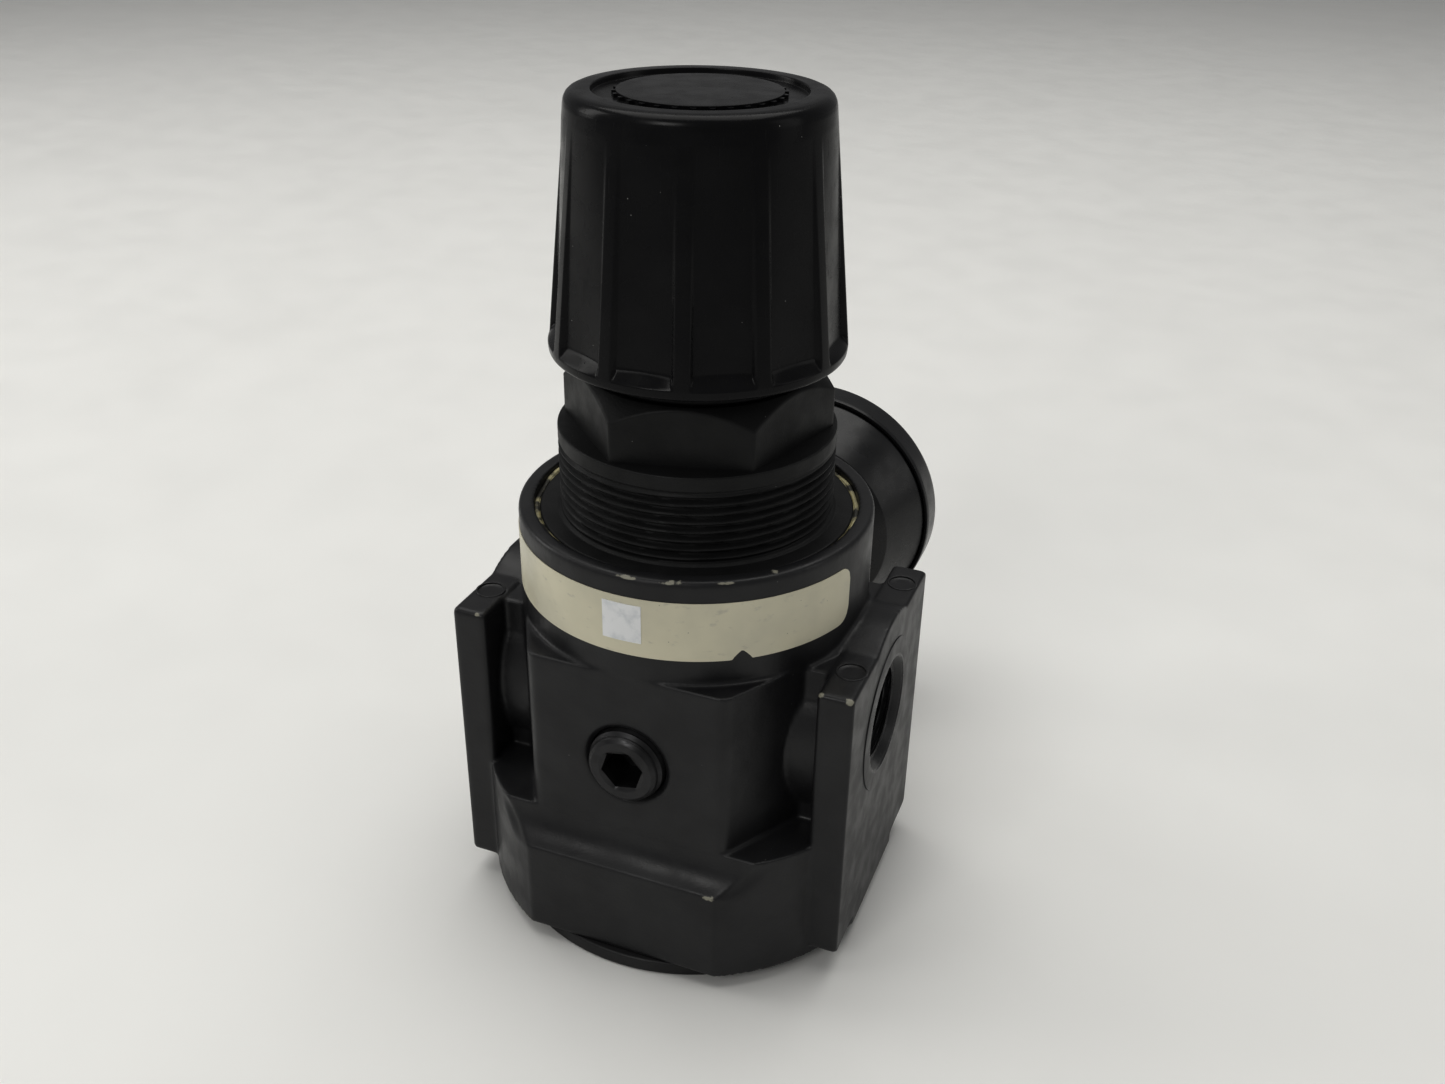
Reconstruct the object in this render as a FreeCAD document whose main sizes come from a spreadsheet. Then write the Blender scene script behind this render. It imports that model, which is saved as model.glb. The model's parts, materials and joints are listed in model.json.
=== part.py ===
import FreeCAD, Part
import math
import os
from types import SimpleNamespace

import Sketcher
from FreeCAD import Placement, Rotation, Vector

# Air pressure regulator with a knob on top, a panel-mounting bonnet and a 50 mm gauge behind.
# Millimetres, +Z up. The origin is on the regulator's axis, in the plane of the bottom cap's face.
# -X is the inlet, +X the outlet, -Y the face with the plugged gauge port, +Y the gauge.

DIMENSIONS = {
    # casting
    "port_span": 69.8,
    "base_radius": 36.65,
    "base_low": 2.6,
    "base_flats": 65.2,
    "base_flat_top": 19.6,
    "shoulder": 25.9,
    "hex_flats": 58.1,
    "hex_round": 2.6,
    "casting_top": 55.9,
    "flange_back": 28.7,
    "flange_width": 43.7,
    "flange_low": 4.5,
    "neck_width": 30.4,
    "edge_round": 0.9,
    "boss_radius": 18.3,
    "collar_radius": 29.16,
    "collar_top": 73.9,
    "collar_edge": 0.9,
    "collar_bore": 26.6,
    # ports
    "port_height": 39.7,
    "plug_height": 39.0,
    "port_radius": 8.55,
    "port_mouth": 10.0,
    "port_floor": 15.5,
    "port_ring": 13.35,
    "gauge_height": 41.4,
    "gauge_port": 6.6,
    "gauge_mouth": 7.5,
    "gauge_port_floor": 14.0,
    # valve and its chambers
    "valve_bore": 12.0,
    "cap_bore": 20.0,
    "cap_shoulder": 14.2,
    "cap_radius": 33.7,
    "cap_boss_top": 12.2,
    "spigot_top": 24.0,
    "poppet_low": 36.0,
    "poppet_top": 40.0,
    "seat_low": 42.0,
    "seat_top": 45.0,
    "seat_radius": 10.0,
    "orifice": 6.0,
    "outlet_low": 47.0,
    "outlet_top": 54.0,
    "stem_radius": 2.5,
    "guide_radius": 3.0,
    "running_gap": 0.06,
    # diaphragm
    "chamber_low": 57.5,
    "chamber_radius": 22.5,
    "diaphragm_low": 64.5,
    "diaphragm_thick": 1.2,
    "gasket_thick": 0.8,
    "plate_low": 62.5,
    "plate_radius": 16.5,
    # bonnet
    "bonnet_step": 72.9,
    "thread_radius": 22.3,
    "thread_top": 87.6,
    "bonnet_flats": 37.5,
    "bonnet_hex_top": 97.0,
    "neck_radius": 17.3,
    "neck_top": 104.0,
    "bonnet_roof": 98.0,
    "spring_bore": 15.5,
    # adjusting screw and nut
    "screw_radius": 5.0,
    "screw_low": 78.0,
    "drive_flats": 12.0,
    "drive_top": 124.0,
    "nut_low": 90.0,
    "nut_top": 95.0,
    # knob
    "knob_low": 99.8,
    "knob_widest": 100.9,
    "knob_radius": 23.2,
    "knob_ledge": 103.6,
    "knob_top": 138.6,
    "knob_top_radius": 19.4,
    "knob_top_round": 2.6,
    "knob_recess": 15.7,
    "knob_cap_radius": 12.2,
    # label
    "label_low": 60.3,
    "label_top": 70.4,
    "label_thick": 0.15,
    # gauge, measured along +Y
    "socket_hex": 30.0,
    "case_back": 52.0,
    "case_shoulder": 64.0,
    "case_front": 69.0,
    "case_radius": 24.1,
    "bezel_radius": 25.4,
    "bezel_front": 71.5,
    "dial_face": 67.0,
    "tube_radius": 16.3,
    "gear_module": 0.2,
    "pinion_teeth": 12,
    "sector_teeth": 96,
}

UPRIGHT = Rotation()
ALONG_X = Rotation(Vector(0, 1, 0), 90)
ALONG_Y = Rotation(Vector(1, 0, 0), -90)
FRONT = Rotation(Vector(1, 0, 0), 90)

doc = FreeCAD.newDocument("regulator")
sheet = doc.addObject("Spreadsheet::Sheet", "sizes")
for row, (word, amount) in enumerate(DIMENSIONS.items(), 1):
    sheet.set("A%d" % row, word)
    sheet.set("B%d" % row, str(amount))
    sheet.setAlias("B%d" % row, word)
doc.recompute()


class Size:
    """A length in mm together with the sheet expression that it is worked out from."""

    def __init__(self, value, text):
        self.value = value
        self.text = text

    def combine(self, left, sign, right, value):
        return Size(value, "(%s %s %s)" % (text_of(left), sign, text_of(right)))

    def __add__(self, other):
        return self.combine(self, "+", other, self.value + number(other))

    def __radd__(self, other):
        return self.combine(other, "+", self, number(other) + self.value)

    def __sub__(self, other):
        return self.combine(self, "-", other, self.value - number(other))

    def __rsub__(self, other):
        return self.combine(other, "-", self, number(other) - self.value)

    def __mul__(self, other):
        return self.combine(self, "*", other, self.value * number(other))

    def __rmul__(self, other):
        return self.combine(other, "*", self, number(other) * self.value)

    def __truediv__(self, other):
        return self.combine(self, "/", other, self.value / number(other))

    def __neg__(self):
        return -1 * self


def number(size):
    return size.value if isinstance(size, Size) else float(size)


def text_of(size):
    return size.text if isinstance(size, Size) else "(%.6f)" % size


dim = SimpleNamespace(**{word: Size(float(sheet.get(word)), "sizes." + word) for word in DIMENSIONS})
half_span = dim.port_span / 2
gasket_low = dim.diaphragm_low + dim.diaphragm_thick
bonnet_low = gasket_low + dim.gasket_thick


# ---- building blocks ----

def bind(item, path, size):
    """Ties a property to the sheet, or sets it where the size is a plain number."""
    if isinstance(size, Size):
        item.setExpression(path, size.text)
    else:
        setattr(item, path, size)


def place(item, at, turn):
    item.Placement = Placement(Vector(*[number(value) for value in at]), turn)
    for letter, value in zip("xyz", at):
        if isinstance(value, Size):
            item.setExpression("Placement.Base." + letter, value.text)
    return item


def cylinder(name, radius, length, at=(0, 0, 0), turn=UPRIGHT):
    item = doc.addObject("Part::Cylinder", name)
    bind(item, "Radius", radius)
    bind(item, "Height", length)
    return place(item, at, turn)


def cone(name, first, second, length, at=(0, 0, 0), turn=UPRIGHT):
    item = doc.addObject("Part::Cone", name)
    bind(item, "Radius1", first)
    bind(item, "Radius2", second)
    bind(item, "Height", length)
    return place(item, at, turn)


def prism(name, flats, length, at=(0, 0, 0), turn=UPRIGHT, spin=0):
    """A hexagonal bar, sized across its flats."""
    item = doc.addObject("Part::Prism", name)
    item.Polygon = 6
    bind(item, "Circumradius", flats / 2 / math.cos(math.pi / 6))
    bind(item, "Height", length)
    return place(item, at, turn * Rotation(Vector(0, 0, 1), spin))


def box(name, low, high):
    """A block between two corners; every coordinate may be a size or a number."""
    item = doc.addObject("Part::Box", name)
    for side, start, end in zip(("Length", "Width", "Height"), low, high):
        bind(item, side, end - start)
    return place(item, low, UPRIGHT)


def torus(name, ring, wire, at, turn=UPRIGHT):
    item = doc.addObject("Part::Torus", name)
    bind(item, "Radius1", ring)
    bind(item, "Radius2", wire)
    return place(item, at, turn)


def join(name, *items):
    joined = doc.addObject("Part::MultiFuse", name)
    joined.Shapes = list(items)
    return joined


def overlap(name, *items):
    common = doc.addObject("Part::MultiCommon", name)
    common.Shapes = list(items)
    return common


def cut(name, base, *tools):
    trimmed = doc.addObject("Part::Cut", name)
    trimmed.Base = base
    trimmed.Tool = tools[0] if len(tools) == 1 else join(name + "_tools", *tools)
    return trimmed


def rounded(name, base, radius, wanted):
    """Rounds the edges of a finished block that the wanted test picks."""
    doc.recompute()
    fillet = doc.addObject("Part::Fillet", name)
    fillet.Base = base
    fillet.Edges = [(index, number(radius), number(radius))
                    for index, edge in enumerate(base.Shape.Edges, 1) if wanted(edge)]
    return fillet


def is_upright(edge):
    if not isinstance(edge.Curve, Part.Line):
        return False
    return abs(edge.tangentAt(edge.FirstParameter).z) > 0.99


def origin_plane(body, role):
    return next(item for item in body.Origin.OriginFeatures if item.Role == role)


def fix_point(sketch, geometry, end, at):
    """Holds one end of a sketch line at a radius and a height from the sketch's origin."""
    for kind, axis, size in (("DistanceX", -2, at[0]), ("DistanceY", -1, at[1])):
        if number(size) == 0:
            sketch.addConstraint(Sketcher.Constraint("PointOnObject", geometry, end, axis))
            continue
        index = sketch.addConstraint(Sketcher.Constraint(kind, -1, 1, geometry, end, number(size)))
        if isinstance(size, Size):
            sketch.setExpression("Constraints[%d]" % index, size.text)


def draw_outline(sketch, outline):
    """Draws a closed outline. A point's third value, where it has one, is the radius of the arc
    that leads to it, positive with its centre on the left of the way along."""
    ends = []
    for index, point in enumerate(outline):
        before = Vector(*[number(size) for size in outline[index - 1][:2]])
        after = Vector(*[number(size) for size in point[:2]])
        if len(point) == 2:
            sketch.addGeometry(Part.LineSegment(before, after))
            ends.append((1, 2))
            continue
        radius = number(point[2])
        chord = after - before
        side = Vector(-chord.y, chord.x).normalize() * math.copysign(1, radius)
        centre = before + chord / 2 + side * math.sqrt(radius ** 2 - (chord.Length / 2) ** 2)
        first, last = (before, after) if radius > 0 else (after, before)
        angles = [math.atan2(spot.y - centre.y, spot.x - centre.x) for spot in (first, last)]
        circle = Part.Circle(centre, Vector(0, 0, 1), abs(radius))
        sketch.addGeometry(Part.ArcOfCircle(circle, *angles))
        ends.append((1, 2) if radius > 0 else (2, 1))
        arc = sketch.addConstraint(Sketcher.Constraint("Radius", index, abs(radius)))
        if isinstance(point[2], Size):
            sketch.setExpression("Constraints[%d]" % arc, "abs(%s)" % point[2].text)
    for index, point in enumerate(outline):
        following = (index + 1) % len(outline)
        sketch.addConstraint(Sketcher.Constraint("Coincident", index, ends[index][1],
                                                 following, ends[following][0]))
        fix_point(sketch, index, ends[index][1], point)


def sketch_on(body, name, role="XZ_Plane"):
    sketch = body.newObject("Sketcher::SketchObject", name)
    sketch.AttachmentSupport = (origin_plane(body, role), [""])
    sketch.MapMode = "FlatFace"
    return sketch


def lathe(name, outline, at=(0, 0, 0), turn=UPRIGHT, angle=360):
    """A turned piece: an outline of (radius, height) points revolved about the piece's own axis."""
    body = doc.addObject("PartDesign::Body", name)
    sketch = sketch_on(body, name + "_outline")
    draw_outline(sketch, outline)
    turned = body.newObject("PartDesign::Revolution", name + "_turned")
    turned.Profile = sketch
    turned.ReferenceAxis = (sketch, ["V_Axis"])
    turned.Angle = angle
    return place(body, at, turn)


def plate(name, outline, thickness, at=(0, 0, 0), turn=UPRIGHT):
    """A flat piece: an outline of (x, y) points padded by its thickness."""
    body = doc.addObject("PartDesign::Body", name)
    sketch = sketch_on(body, name + "_outline", "XY_Plane")
    draw_outline(sketch, outline)
    pad = body.newObject("PartDesign::Pad", name + "_pad")
    pad.Profile = sketch
    bind(pad, "Length", thickness)
    return place(body, at, turn)


def spring(name, ring, wire, low, high, turns):
    """A round-wire compression spring standing between two heights."""
    body = doc.addObject("PartDesign::Body", name)
    sketch = sketch_on(body, name + "_wire")
    sketch.addGeometry(Part.Circle(Vector(ring, wire), Vector(0, 0, 1), wire))
    sketch.addConstraint(Sketcher.Constraint("Radius", 0, wire))
    fix_point(sketch, 0, 3, (ring, wire))
    helix = body.newObject("PartDesign::AdditiveHelix", name + "_coil")
    helix.Profile = sketch
    helix.ReferenceAxis = (sketch, ["V_Axis"])
    helix.Mode = 2
    bind(helix, "Height", high - low - 2 * wire)
    helix.Turns = turns
    return place(body, (0, 0, low), UPRIGHT)


pieces = []


def piece(item, label):
    """Names a finished sub-part after its node."""
    item.Label = label
    pieces.append(item)
    return item


# ---- casting ----

def port_cuts(side, name):
    """The bore, mouth and face ring of one main port, and the passage behind it."""
    turn = ALONG_X if side > 0 else Rotation(Vector(0, 1, 0), -90)
    height = dim.port_height
    mouth = dim.port_mouth - dim.port_radius
    bore = cylinder(name + "_bore", dim.port_radius, half_span - dim.port_floor + 1,
                    (side * dim.port_floor, 0, height), turn)
    chamfer = cone(name + "_mouth", dim.port_radius, dim.port_mouth, mouth,
                   (side * (half_span - mouth), 0, height), turn)
    ring_depth, ring_half_width = 0.3, 0.3
    ring = lathe(name + "_ring",
                 [(dim.port_ring - ring_half_width, 0), (dim.port_ring + ring_half_width, 0),
                  (dim.port_ring + ring_half_width, 1), (dim.port_ring - ring_half_width, 1)],
                 (side * (half_span - ring_depth), 0, height), turn)
    return [bore, chamfer, ring]


def gauge_port_cuts(side, name, height):
    """The tapped hole of one gauge port and the drilling that joins it to the outlet chamber."""
    turn = ALONG_Y if side > 0 else FRONT
    face = dim.hex_flats / 2
    mouth = dim.gauge_mouth - dim.gauge_port
    drill, drill_height = 1.5, dim.outlet_low + 3
    riser_out = dim.gauge_port_floor + drill + 0.6
    bore = cylinder(name + "_bore", dim.gauge_port, face - dim.gauge_port_floor + 1,
                    (0, side * dim.gauge_port_floor, height), turn)
    chamfer = cone(name + "_mouth", dim.gauge_port, dim.gauge_mouth, mouth,
                   (0, side * (face - mouth), height), turn)
    riser = cylinder(name + "_riser", drill, drill_height - height,
                     (0, side * riser_out, height))
    across = cylinder(name + "_across", drill, riser_out - dim.valve_bore + 2,
                      (0, side * (dim.valve_bore - 2), drill_height), turn)
    return [bore, chamfer, riser, across]


def casting():
    base_half = dim.base_flats / 2
    hex_half = dim.hex_flats / 2
    low, top = dim.base_low, dim.casting_top
    # the section in Y and Z, a foot that slopes in to the flats of the hexagon
    section = plate("base_section",
                    [(base_half, 0), (base_half, dim.base_flat_top - low),
                     (hex_half, dim.shoulder - low), (-hex_half, dim.shoulder - low),
                     (-base_half, dim.base_flat_top - low), (-base_half, 0)],
                    dim.port_span, (-half_span, 0, low),
                    Rotation(Vector(0, 0, 1), 90) * Rotation(Vector(1, 0, 0), 90))
    drum = cylinder("base_drum", dim.base_radius, dim.shoulder - low, (0, 0, low))
    base = overlap("base", section, drum)
    core = rounded("core", prism("core_bar", dim.hex_flats, top - low, (0, 0, low)),
                   dim.hex_round, is_upright)
    flange_half = dim.flange_width / 2
    neck_half = dim.neck_width / 2
    solids = [base, core]
    for side, word in ((-1, "inlet"), (1, "outlet")):
        near, far = sorted((side * dim.flange_back, side * half_span), key=number)
        flange = box(word + "_flange_block", (near, -flange_half, dim.flange_low), (far, flange_half, top))
        solids.append(rounded(word + "_flange", flange, dim.edge_round, lambda edge: True))
        inner, outer = sorted((side * 20, side * (dim.flange_back + 1)), key=number)
        solids.append(box(word + "_neck", (inner, -neck_half, dim.flange_low + 1),
                          (outer, neck_half, top - 0.5)))
    solids.append(cylinder("port_boss", dim.boss_radius, dim.port_span - 0.4,
                           (-half_span + 0.2, 0, dim.port_height), ALONG_X))
    edge = dim.collar_edge
    solids.append(lathe("collar",
                        [(0, 0), (dim.collar_radius, 0),
                         (dim.collar_radius, dim.collar_top - top - edge),
                         (dim.collar_radius - edge, dim.collar_top - top, edge),
                         (0, dim.collar_top - top)], (0, 0, top)))
    return join("casting_blank", *solids)


def chambers():
    """Everything bored out of the casting along its axis, from the cap's thread to the collar."""
    fit = dim.stem_radius + dim.running_gap
    well = lathe("chambers",
                 [(0, 0), (dim.cap_bore, 0), (dim.cap_bore, dim.cap_shoulder),
                  (dim.valve_bore, dim.cap_shoulder), (dim.valve_bore, dim.seat_low),
                  (dim.seat_radius, dim.seat_low), (dim.seat_radius, dim.seat_top),
                  (dim.orifice + 1, dim.seat_top), (dim.orifice + 1, dim.outlet_low),
                  (dim.valve_bore, dim.outlet_low), (dim.valve_bore, dim.outlet_top),
                  (fit, dim.outlet_top), (fit, dim.chamber_low),
                  (dim.chamber_radius, dim.chamber_low), (dim.chamber_radius, dim.diaphragm_low),
                  (dim.collar_bore, dim.diaphragm_low), (dim.collar_bore, dim.collar_top + 1),
                  (0, dim.collar_top + 1)])
    half_slot = 6
    rise = box("outlet_rise", (dim.port_floor + 0.5, -half_slot, dim.port_height),
               (dim.port_floor + 6.5, half_slot, dim.outlet_top - 1))
    over = box("outlet_over", (dim.valve_bore - 3, -half_slot, dim.outlet_low + 0.5),
               (dim.port_floor + 6.5, half_slot, dim.outlet_top - 1))
    under = box("inlet_under", (-dim.port_floor - 4.5, -half_slot, dim.seat_low - 8),
                (-dim.valve_bore + 2, half_slot, dim.seat_low - 0.5))
    tube_hole = cylinder("aspirator_hole", 1.5, dim.chamber_low - dim.outlet_top + 2,
                         (0, -8, dim.outlet_top - 1))
    return [well, rise, over, under, tube_hole]


def flange_marks():
    """Shallow round ejector marks in the tops of the flanges."""
    marks = []
    mark_radius, mark_depth = 2.4, 0.3
    for side in (-1, 1):
        for across in (-14.0, 15.7):
            marks.append(cylinder("ejector_mark", mark_radius, 1,
                                  (side * (half_span - 3), across, dim.casting_top - mark_depth)))
    return marks


tools = chambers() + port_cuts(-1, "inlet") + port_cuts(1, "outlet") + flange_marks()
tools += gauge_port_cuts(-1, "front_port", dim.plug_height)
tools += gauge_port_cuts(1, "rear_port", dim.gauge_height)
piece(cut("casting_bored", casting(), *tools), "body")


# ---- bottom cap and valve ----

def bottom_cap():
    guide = dim.guide_radius + dim.running_gap
    blank = lathe("cap_blank",
                  [(0, 0), (dim.cap_radius - 0.5, 0), (dim.cap_radius, 0.5, 0.5),
                   (dim.cap_radius, dim.base_low), (dim.cap_bore - 0.05, dim.base_low),
                   (dim.cap_bore - 0.05, dim.cap_boss_top), (dim.valve_bore - 0.1, dim.cap_boss_top),
                   (dim.valve_bore - 0.1, dim.spigot_top), (0, dim.spigot_top)])
    guide_floor, seal_low, seal_high = 9.0, 19.2, 20.8
    bore = cylinder("cap_guide", guide, dim.spigot_top - guide_floor + 1, (0, 0, guide_floor))
    groove = cylinder("cap_groove", guide + 1.55, seal_high - seal_low, (0, 0, seal_low))
    recess_depth, recess_radius, wrench_flats = 1.6, 14.0, Size(17.0, "17")
    recess = cut("wrench_recess",
                 cylinder("recess_disc", recess_radius, recess_depth + 1, (0, 0, -1)),
                 prism("wrench_boss", wrench_flats, recess_depth + 3, (0, 0, -2)))
    return cut("cap_bored", blank, bore, groove, recess)


piece(bottom_cap(), "bottom_cap")
cap_seal = (dim.cap_shoulder - dim.cap_boss_top) / 2
piece(torus("cap_seal", 16.0, cap_seal * 0.98, (0, 0, dim.cap_boss_top + cap_seal)), "cap_o_ring")
piece(torus("guide_seal", dim.guide_radius + 0.8, 0.7, (0, 0, 20.0)), "stem_o_ring")

poppet_radius = 8.5
stem_low = 12.0
stem_top = dim.plate_low - 0.05
piece(lathe("poppet",
            [(0, 0), (dim.guide_radius - 0.5, 0), (dim.guide_radius, 0.5),
             (dim.guide_radius, dim.poppet_low - stem_low), (poppet_radius, dim.poppet_low - stem_low),
             (poppet_radius, dim.poppet_top - stem_low), (dim.stem_radius, dim.poppet_top - stem_low),
             (dim.stem_radius, stem_top - stem_low - 1), (1.6, stem_top - stem_low),
             (0, stem_top - stem_low)], (0, 0, stem_low)), "valve_stem")
seal_thick = dim.seat_low - dim.poppet_top
piece(lathe("seal_disc",
            [(dim.stem_radius, 0), (poppet_radius - 0.3, 0), (poppet_radius - 0.3, seal_thick),
             (dim.stem_radius, seal_thick)], (0, 0, dim.poppet_top)), "valve_seal")
piece(lathe("seat_ring",
            [(dim.orifice, 0), (dim.orifice + 1.4, 0), (dim.orifice + 2, 0.6), (dim.seat_radius, 0.6),
             (dim.seat_radius, dim.seat_top - dim.seat_low), (dim.orifice, dim.seat_top - dim.seat_low)],
            (0, 0, dim.seat_low)), "valve_seat")
piece(spring("valve_coil", 6.0, 0.6, dim.spigot_top, dim.poppet_low, 6), "valve_spring")
tube_length = 9.0
tube = lathe("aspirator",
             [(0.9, 0), (1.5, 0), (1.5, tube_length), (0.9, tube_length)],
             (0, -8, dim.chamber_low - tube_length + 2))
piece(tube, "aspirator_tube")


# ---- diaphragm ----

clamp_radius = dim.collar_bore - 0.1
hub_radius = 4.0
fold_low, fold_high = 18.0, 21.5
thick = dim.diaphragm_thick
piece(lathe("diaphragm_disc",
            [(hub_radius, 0), (fold_low, 0), (fold_high, 0, 2.2), (clamp_radius, 0),
             (clamp_radius, thick), (fold_high + 0.3, thick), (fold_low - 0.3, thick, -3.2),
             (hub_radius, thick)],
            (0, 0, dim.diaphragm_low)), "diaphragm")
piece(lathe("lower_plate",
            [(1.2, 0), (6, 0), (7, 0.8), (dim.plate_radius - 1, 0.8),
             (dim.plate_radius - 1, dim.diaphragm_low - dim.plate_low),
             (1.2, dim.diaphragm_low - dim.plate_low)],
            (0, 0, dim.plate_low)), "diaphragm_lower_plate")
spring_seat = gasket_low + 1.5
piece(lathe("upper_plate",
            [(1.2, 0), (hub_radius, 0), (hub_radius, thick), (dim.plate_radius, thick),
             (dim.plate_radius, thick + 1.5), (10.2, thick + 1.5), (9.6, thick + 3.5),
             (1.2, thick + 3.5)],
            (0, 0, dim.diaphragm_low)), "diaphragm_upper_plate")
piece(lathe("gasket_ring",
            [(dim.chamber_radius + 0.3, 0), (clamp_radius, 0), (clamp_radius, dim.gasket_thick),
             (dim.chamber_radius + 0.3, dim.gasket_thick)],
            (0, 0, gasket_low)), "bonnet_gasket")
joint_low = dim.bonnet_step - 0.6
piece(lathe("joint_seal_ring",
            [(clamp_radius - 0.9, 0), (dim.collar_bore, 0), (dim.collar_bore, 1.1),
             (clamp_radius - 0.9, 1.1)], (0, 0, joint_low)), "bonnet_seal")


# ---- bonnet, screw, nut and main spring ----

def bonnet():
    flange_edge = 0.4
    shell = lathe("bonnet_turned",
                  [(0, 0), (clamp_radius, 0), (clamp_radius, joint_low - bonnet_low),
                   (clamp_radius - 0.9, joint_low - bonnet_low),
                   (clamp_radius - 0.9, dim.bonnet_step - bonnet_low - flange_edge),
                   (clamp_radius - 0.9 - flange_edge, dim.bonnet_step - bonnet_low),
                   (dim.thread_radius, dim.bonnet_step - bonnet_low),
                   (dim.thread_radius, dim.thread_top - bonnet_low), (0, dim.thread_top - bonnet_low)],
                  (0, 0, bonnet_low))
    hexagon = prism("bonnet_bar", dim.bonnet_flats, dim.bonnet_hex_top - dim.thread_top + 1,
                    (0, 0, dim.thread_top - 1), UPRIGHT, 15)
    corner = dim.bonnet_flats / 2 / math.cos(math.pi / 6)
    crown = lathe("bonnet_crown",
                  [(0, 0), (corner, 0), (corner, dim.bonnet_hex_top - dim.thread_top - 1.5),
                   (dim.bonnet_flats / 2 - 0.6, dim.bonnet_hex_top - dim.thread_top + 1),
                   (0, dim.bonnet_hex_top - dim.thread_top + 1)], (0, 0, dim.thread_top - 1))
    neck = cylinder("bonnet_neck", dim.neck_radius, dim.neck_top - dim.bonnet_hex_top,
                    (0, 0, dim.bonnet_hex_top))
    wide_top = bonnet_low + 7.5
    cavity = lathe("bonnet_cavity",
                   [(0, 0), (19.5, 0), (19.5, wide_top - bonnet_low),
                    (dim.spring_bore, wide_top - bonnet_low + 3), (dim.spring_bore, dim.bonnet_roof - bonnet_low),
                    (dim.screw_radius + dim.running_gap, dim.bonnet_roof - bonnet_low),
                    (dim.screw_radius + dim.running_gap, dim.neck_top - bonnet_low + 1),
                    (0, dim.neck_top - bonnet_low + 1)], (0, 0, bonnet_low))
    hollow = cut("bonnet_hollow", join("bonnet_solid", shell, overlap("bonnet_hexagon", hexagon, crown), neck),
                 cavity)
    ribs = [box("bonnet_rib", (side * (dim.spring_bore + 0.4) - 0.9, -1, wide_top + 4),
                (side * (dim.spring_bore + 0.4) + 0.9, 1, dim.bonnet_roof)) for side in (-1, 1)]
    return join("bonnet_ribbed", hollow, *ribs)


piece(bonnet(), "bonnet")

thrust_flange = 8.0
thrust_low = dim.nut_top + 0.4
washer_thick = 0.8
screw = join("screw_fused",
             lathe("screw_turned",
                   [(0, 0), (dim.screw_radius - 1, 0), (dim.screw_radius, 1),
                    (dim.screw_radius, thrust_low - dim.screw_low), (thrust_flange, thrust_low - dim.screw_low),
                    (thrust_flange, dim.bonnet_roof - washer_thick - dim.screw_low),
                    (dim.screw_radius, dim.bonnet_roof - washer_thick - dim.screw_low),
                    (dim.screw_radius, dim.neck_top + 0.05 - dim.screw_low),
                    (dim.screw_radius - 0.8, dim.neck_top + 0.05 - dim.screw_low),
                    (dim.screw_radius - 0.8, dim.neck_top + 1.25 - dim.screw_low),
                    (dim.screw_radius, dim.neck_top + 1.25 - dim.screw_low),
                    (dim.screw_radius, dim.neck_top + 2.5 - dim.screw_low),
                    (0, dim.neck_top + 2.5 - dim.screw_low)], (0, 0, dim.screw_low)),
             prism("screw_drive", dim.drive_flats, dim.drive_top - dim.neck_top - 2,
                   (0, 0, dim.neck_top + 2)))
piece(screw, "adjusting_screw")
piece(lathe("thrust_ring",
            [(dim.screw_radius + 0.05, 0), (thrust_flange, 0), (thrust_flange, washer_thick),
             (dim.screw_radius + 0.05, washer_thick)],
            (0, 0, dim.bonnet_roof - washer_thick)), "thrust_washer")
piece(cut("clip_ring",
          cylinder("clip_disc", 8.0, 1.0, (0, 0, dim.neck_top + 0.15)),
          cylinder("clip_hole", dim.screw_radius - 0.75, 3, (0, 0, dim.neck_top - 1)),
          box("clip_gap", (-2.6, 0, dim.neck_top - 1), (2.6, 9, dim.neck_top + 2))), "screw_clip")


def spring_nut():
    hub_low = dim.nut_low - 2
    blank = join("nut_blank",
                 cylinder("nut_disc", dim.spring_bore - 0.2, dim.nut_top - dim.nut_low, (0, 0, dim.nut_low)),
                 cylinder("nut_hub", 9.0, dim.nut_top - hub_low, (0, 0, hub_low)))
    slots = [box("nut_slot", (side * dim.spring_bore - 1.8, -1.3, dim.nut_low - 1),
                 (side * dim.spring_bore + 1.8, 1.3, dim.nut_top + 1)) for side in (-1, 1)]
    hole = cylinder("nut_hole", dim.screw_radius + dim.running_gap, 9, (0, 0, hub_low - 1))
    return cut("nut_bored", blank, hole, *slots)


piece(spring_nut(), "spring_nut")
piece(spring("main_coil", 12.2, 1.2, spring_seat, dim.nut_low, 5), "main_spring")


# ---- knob ----

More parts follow.
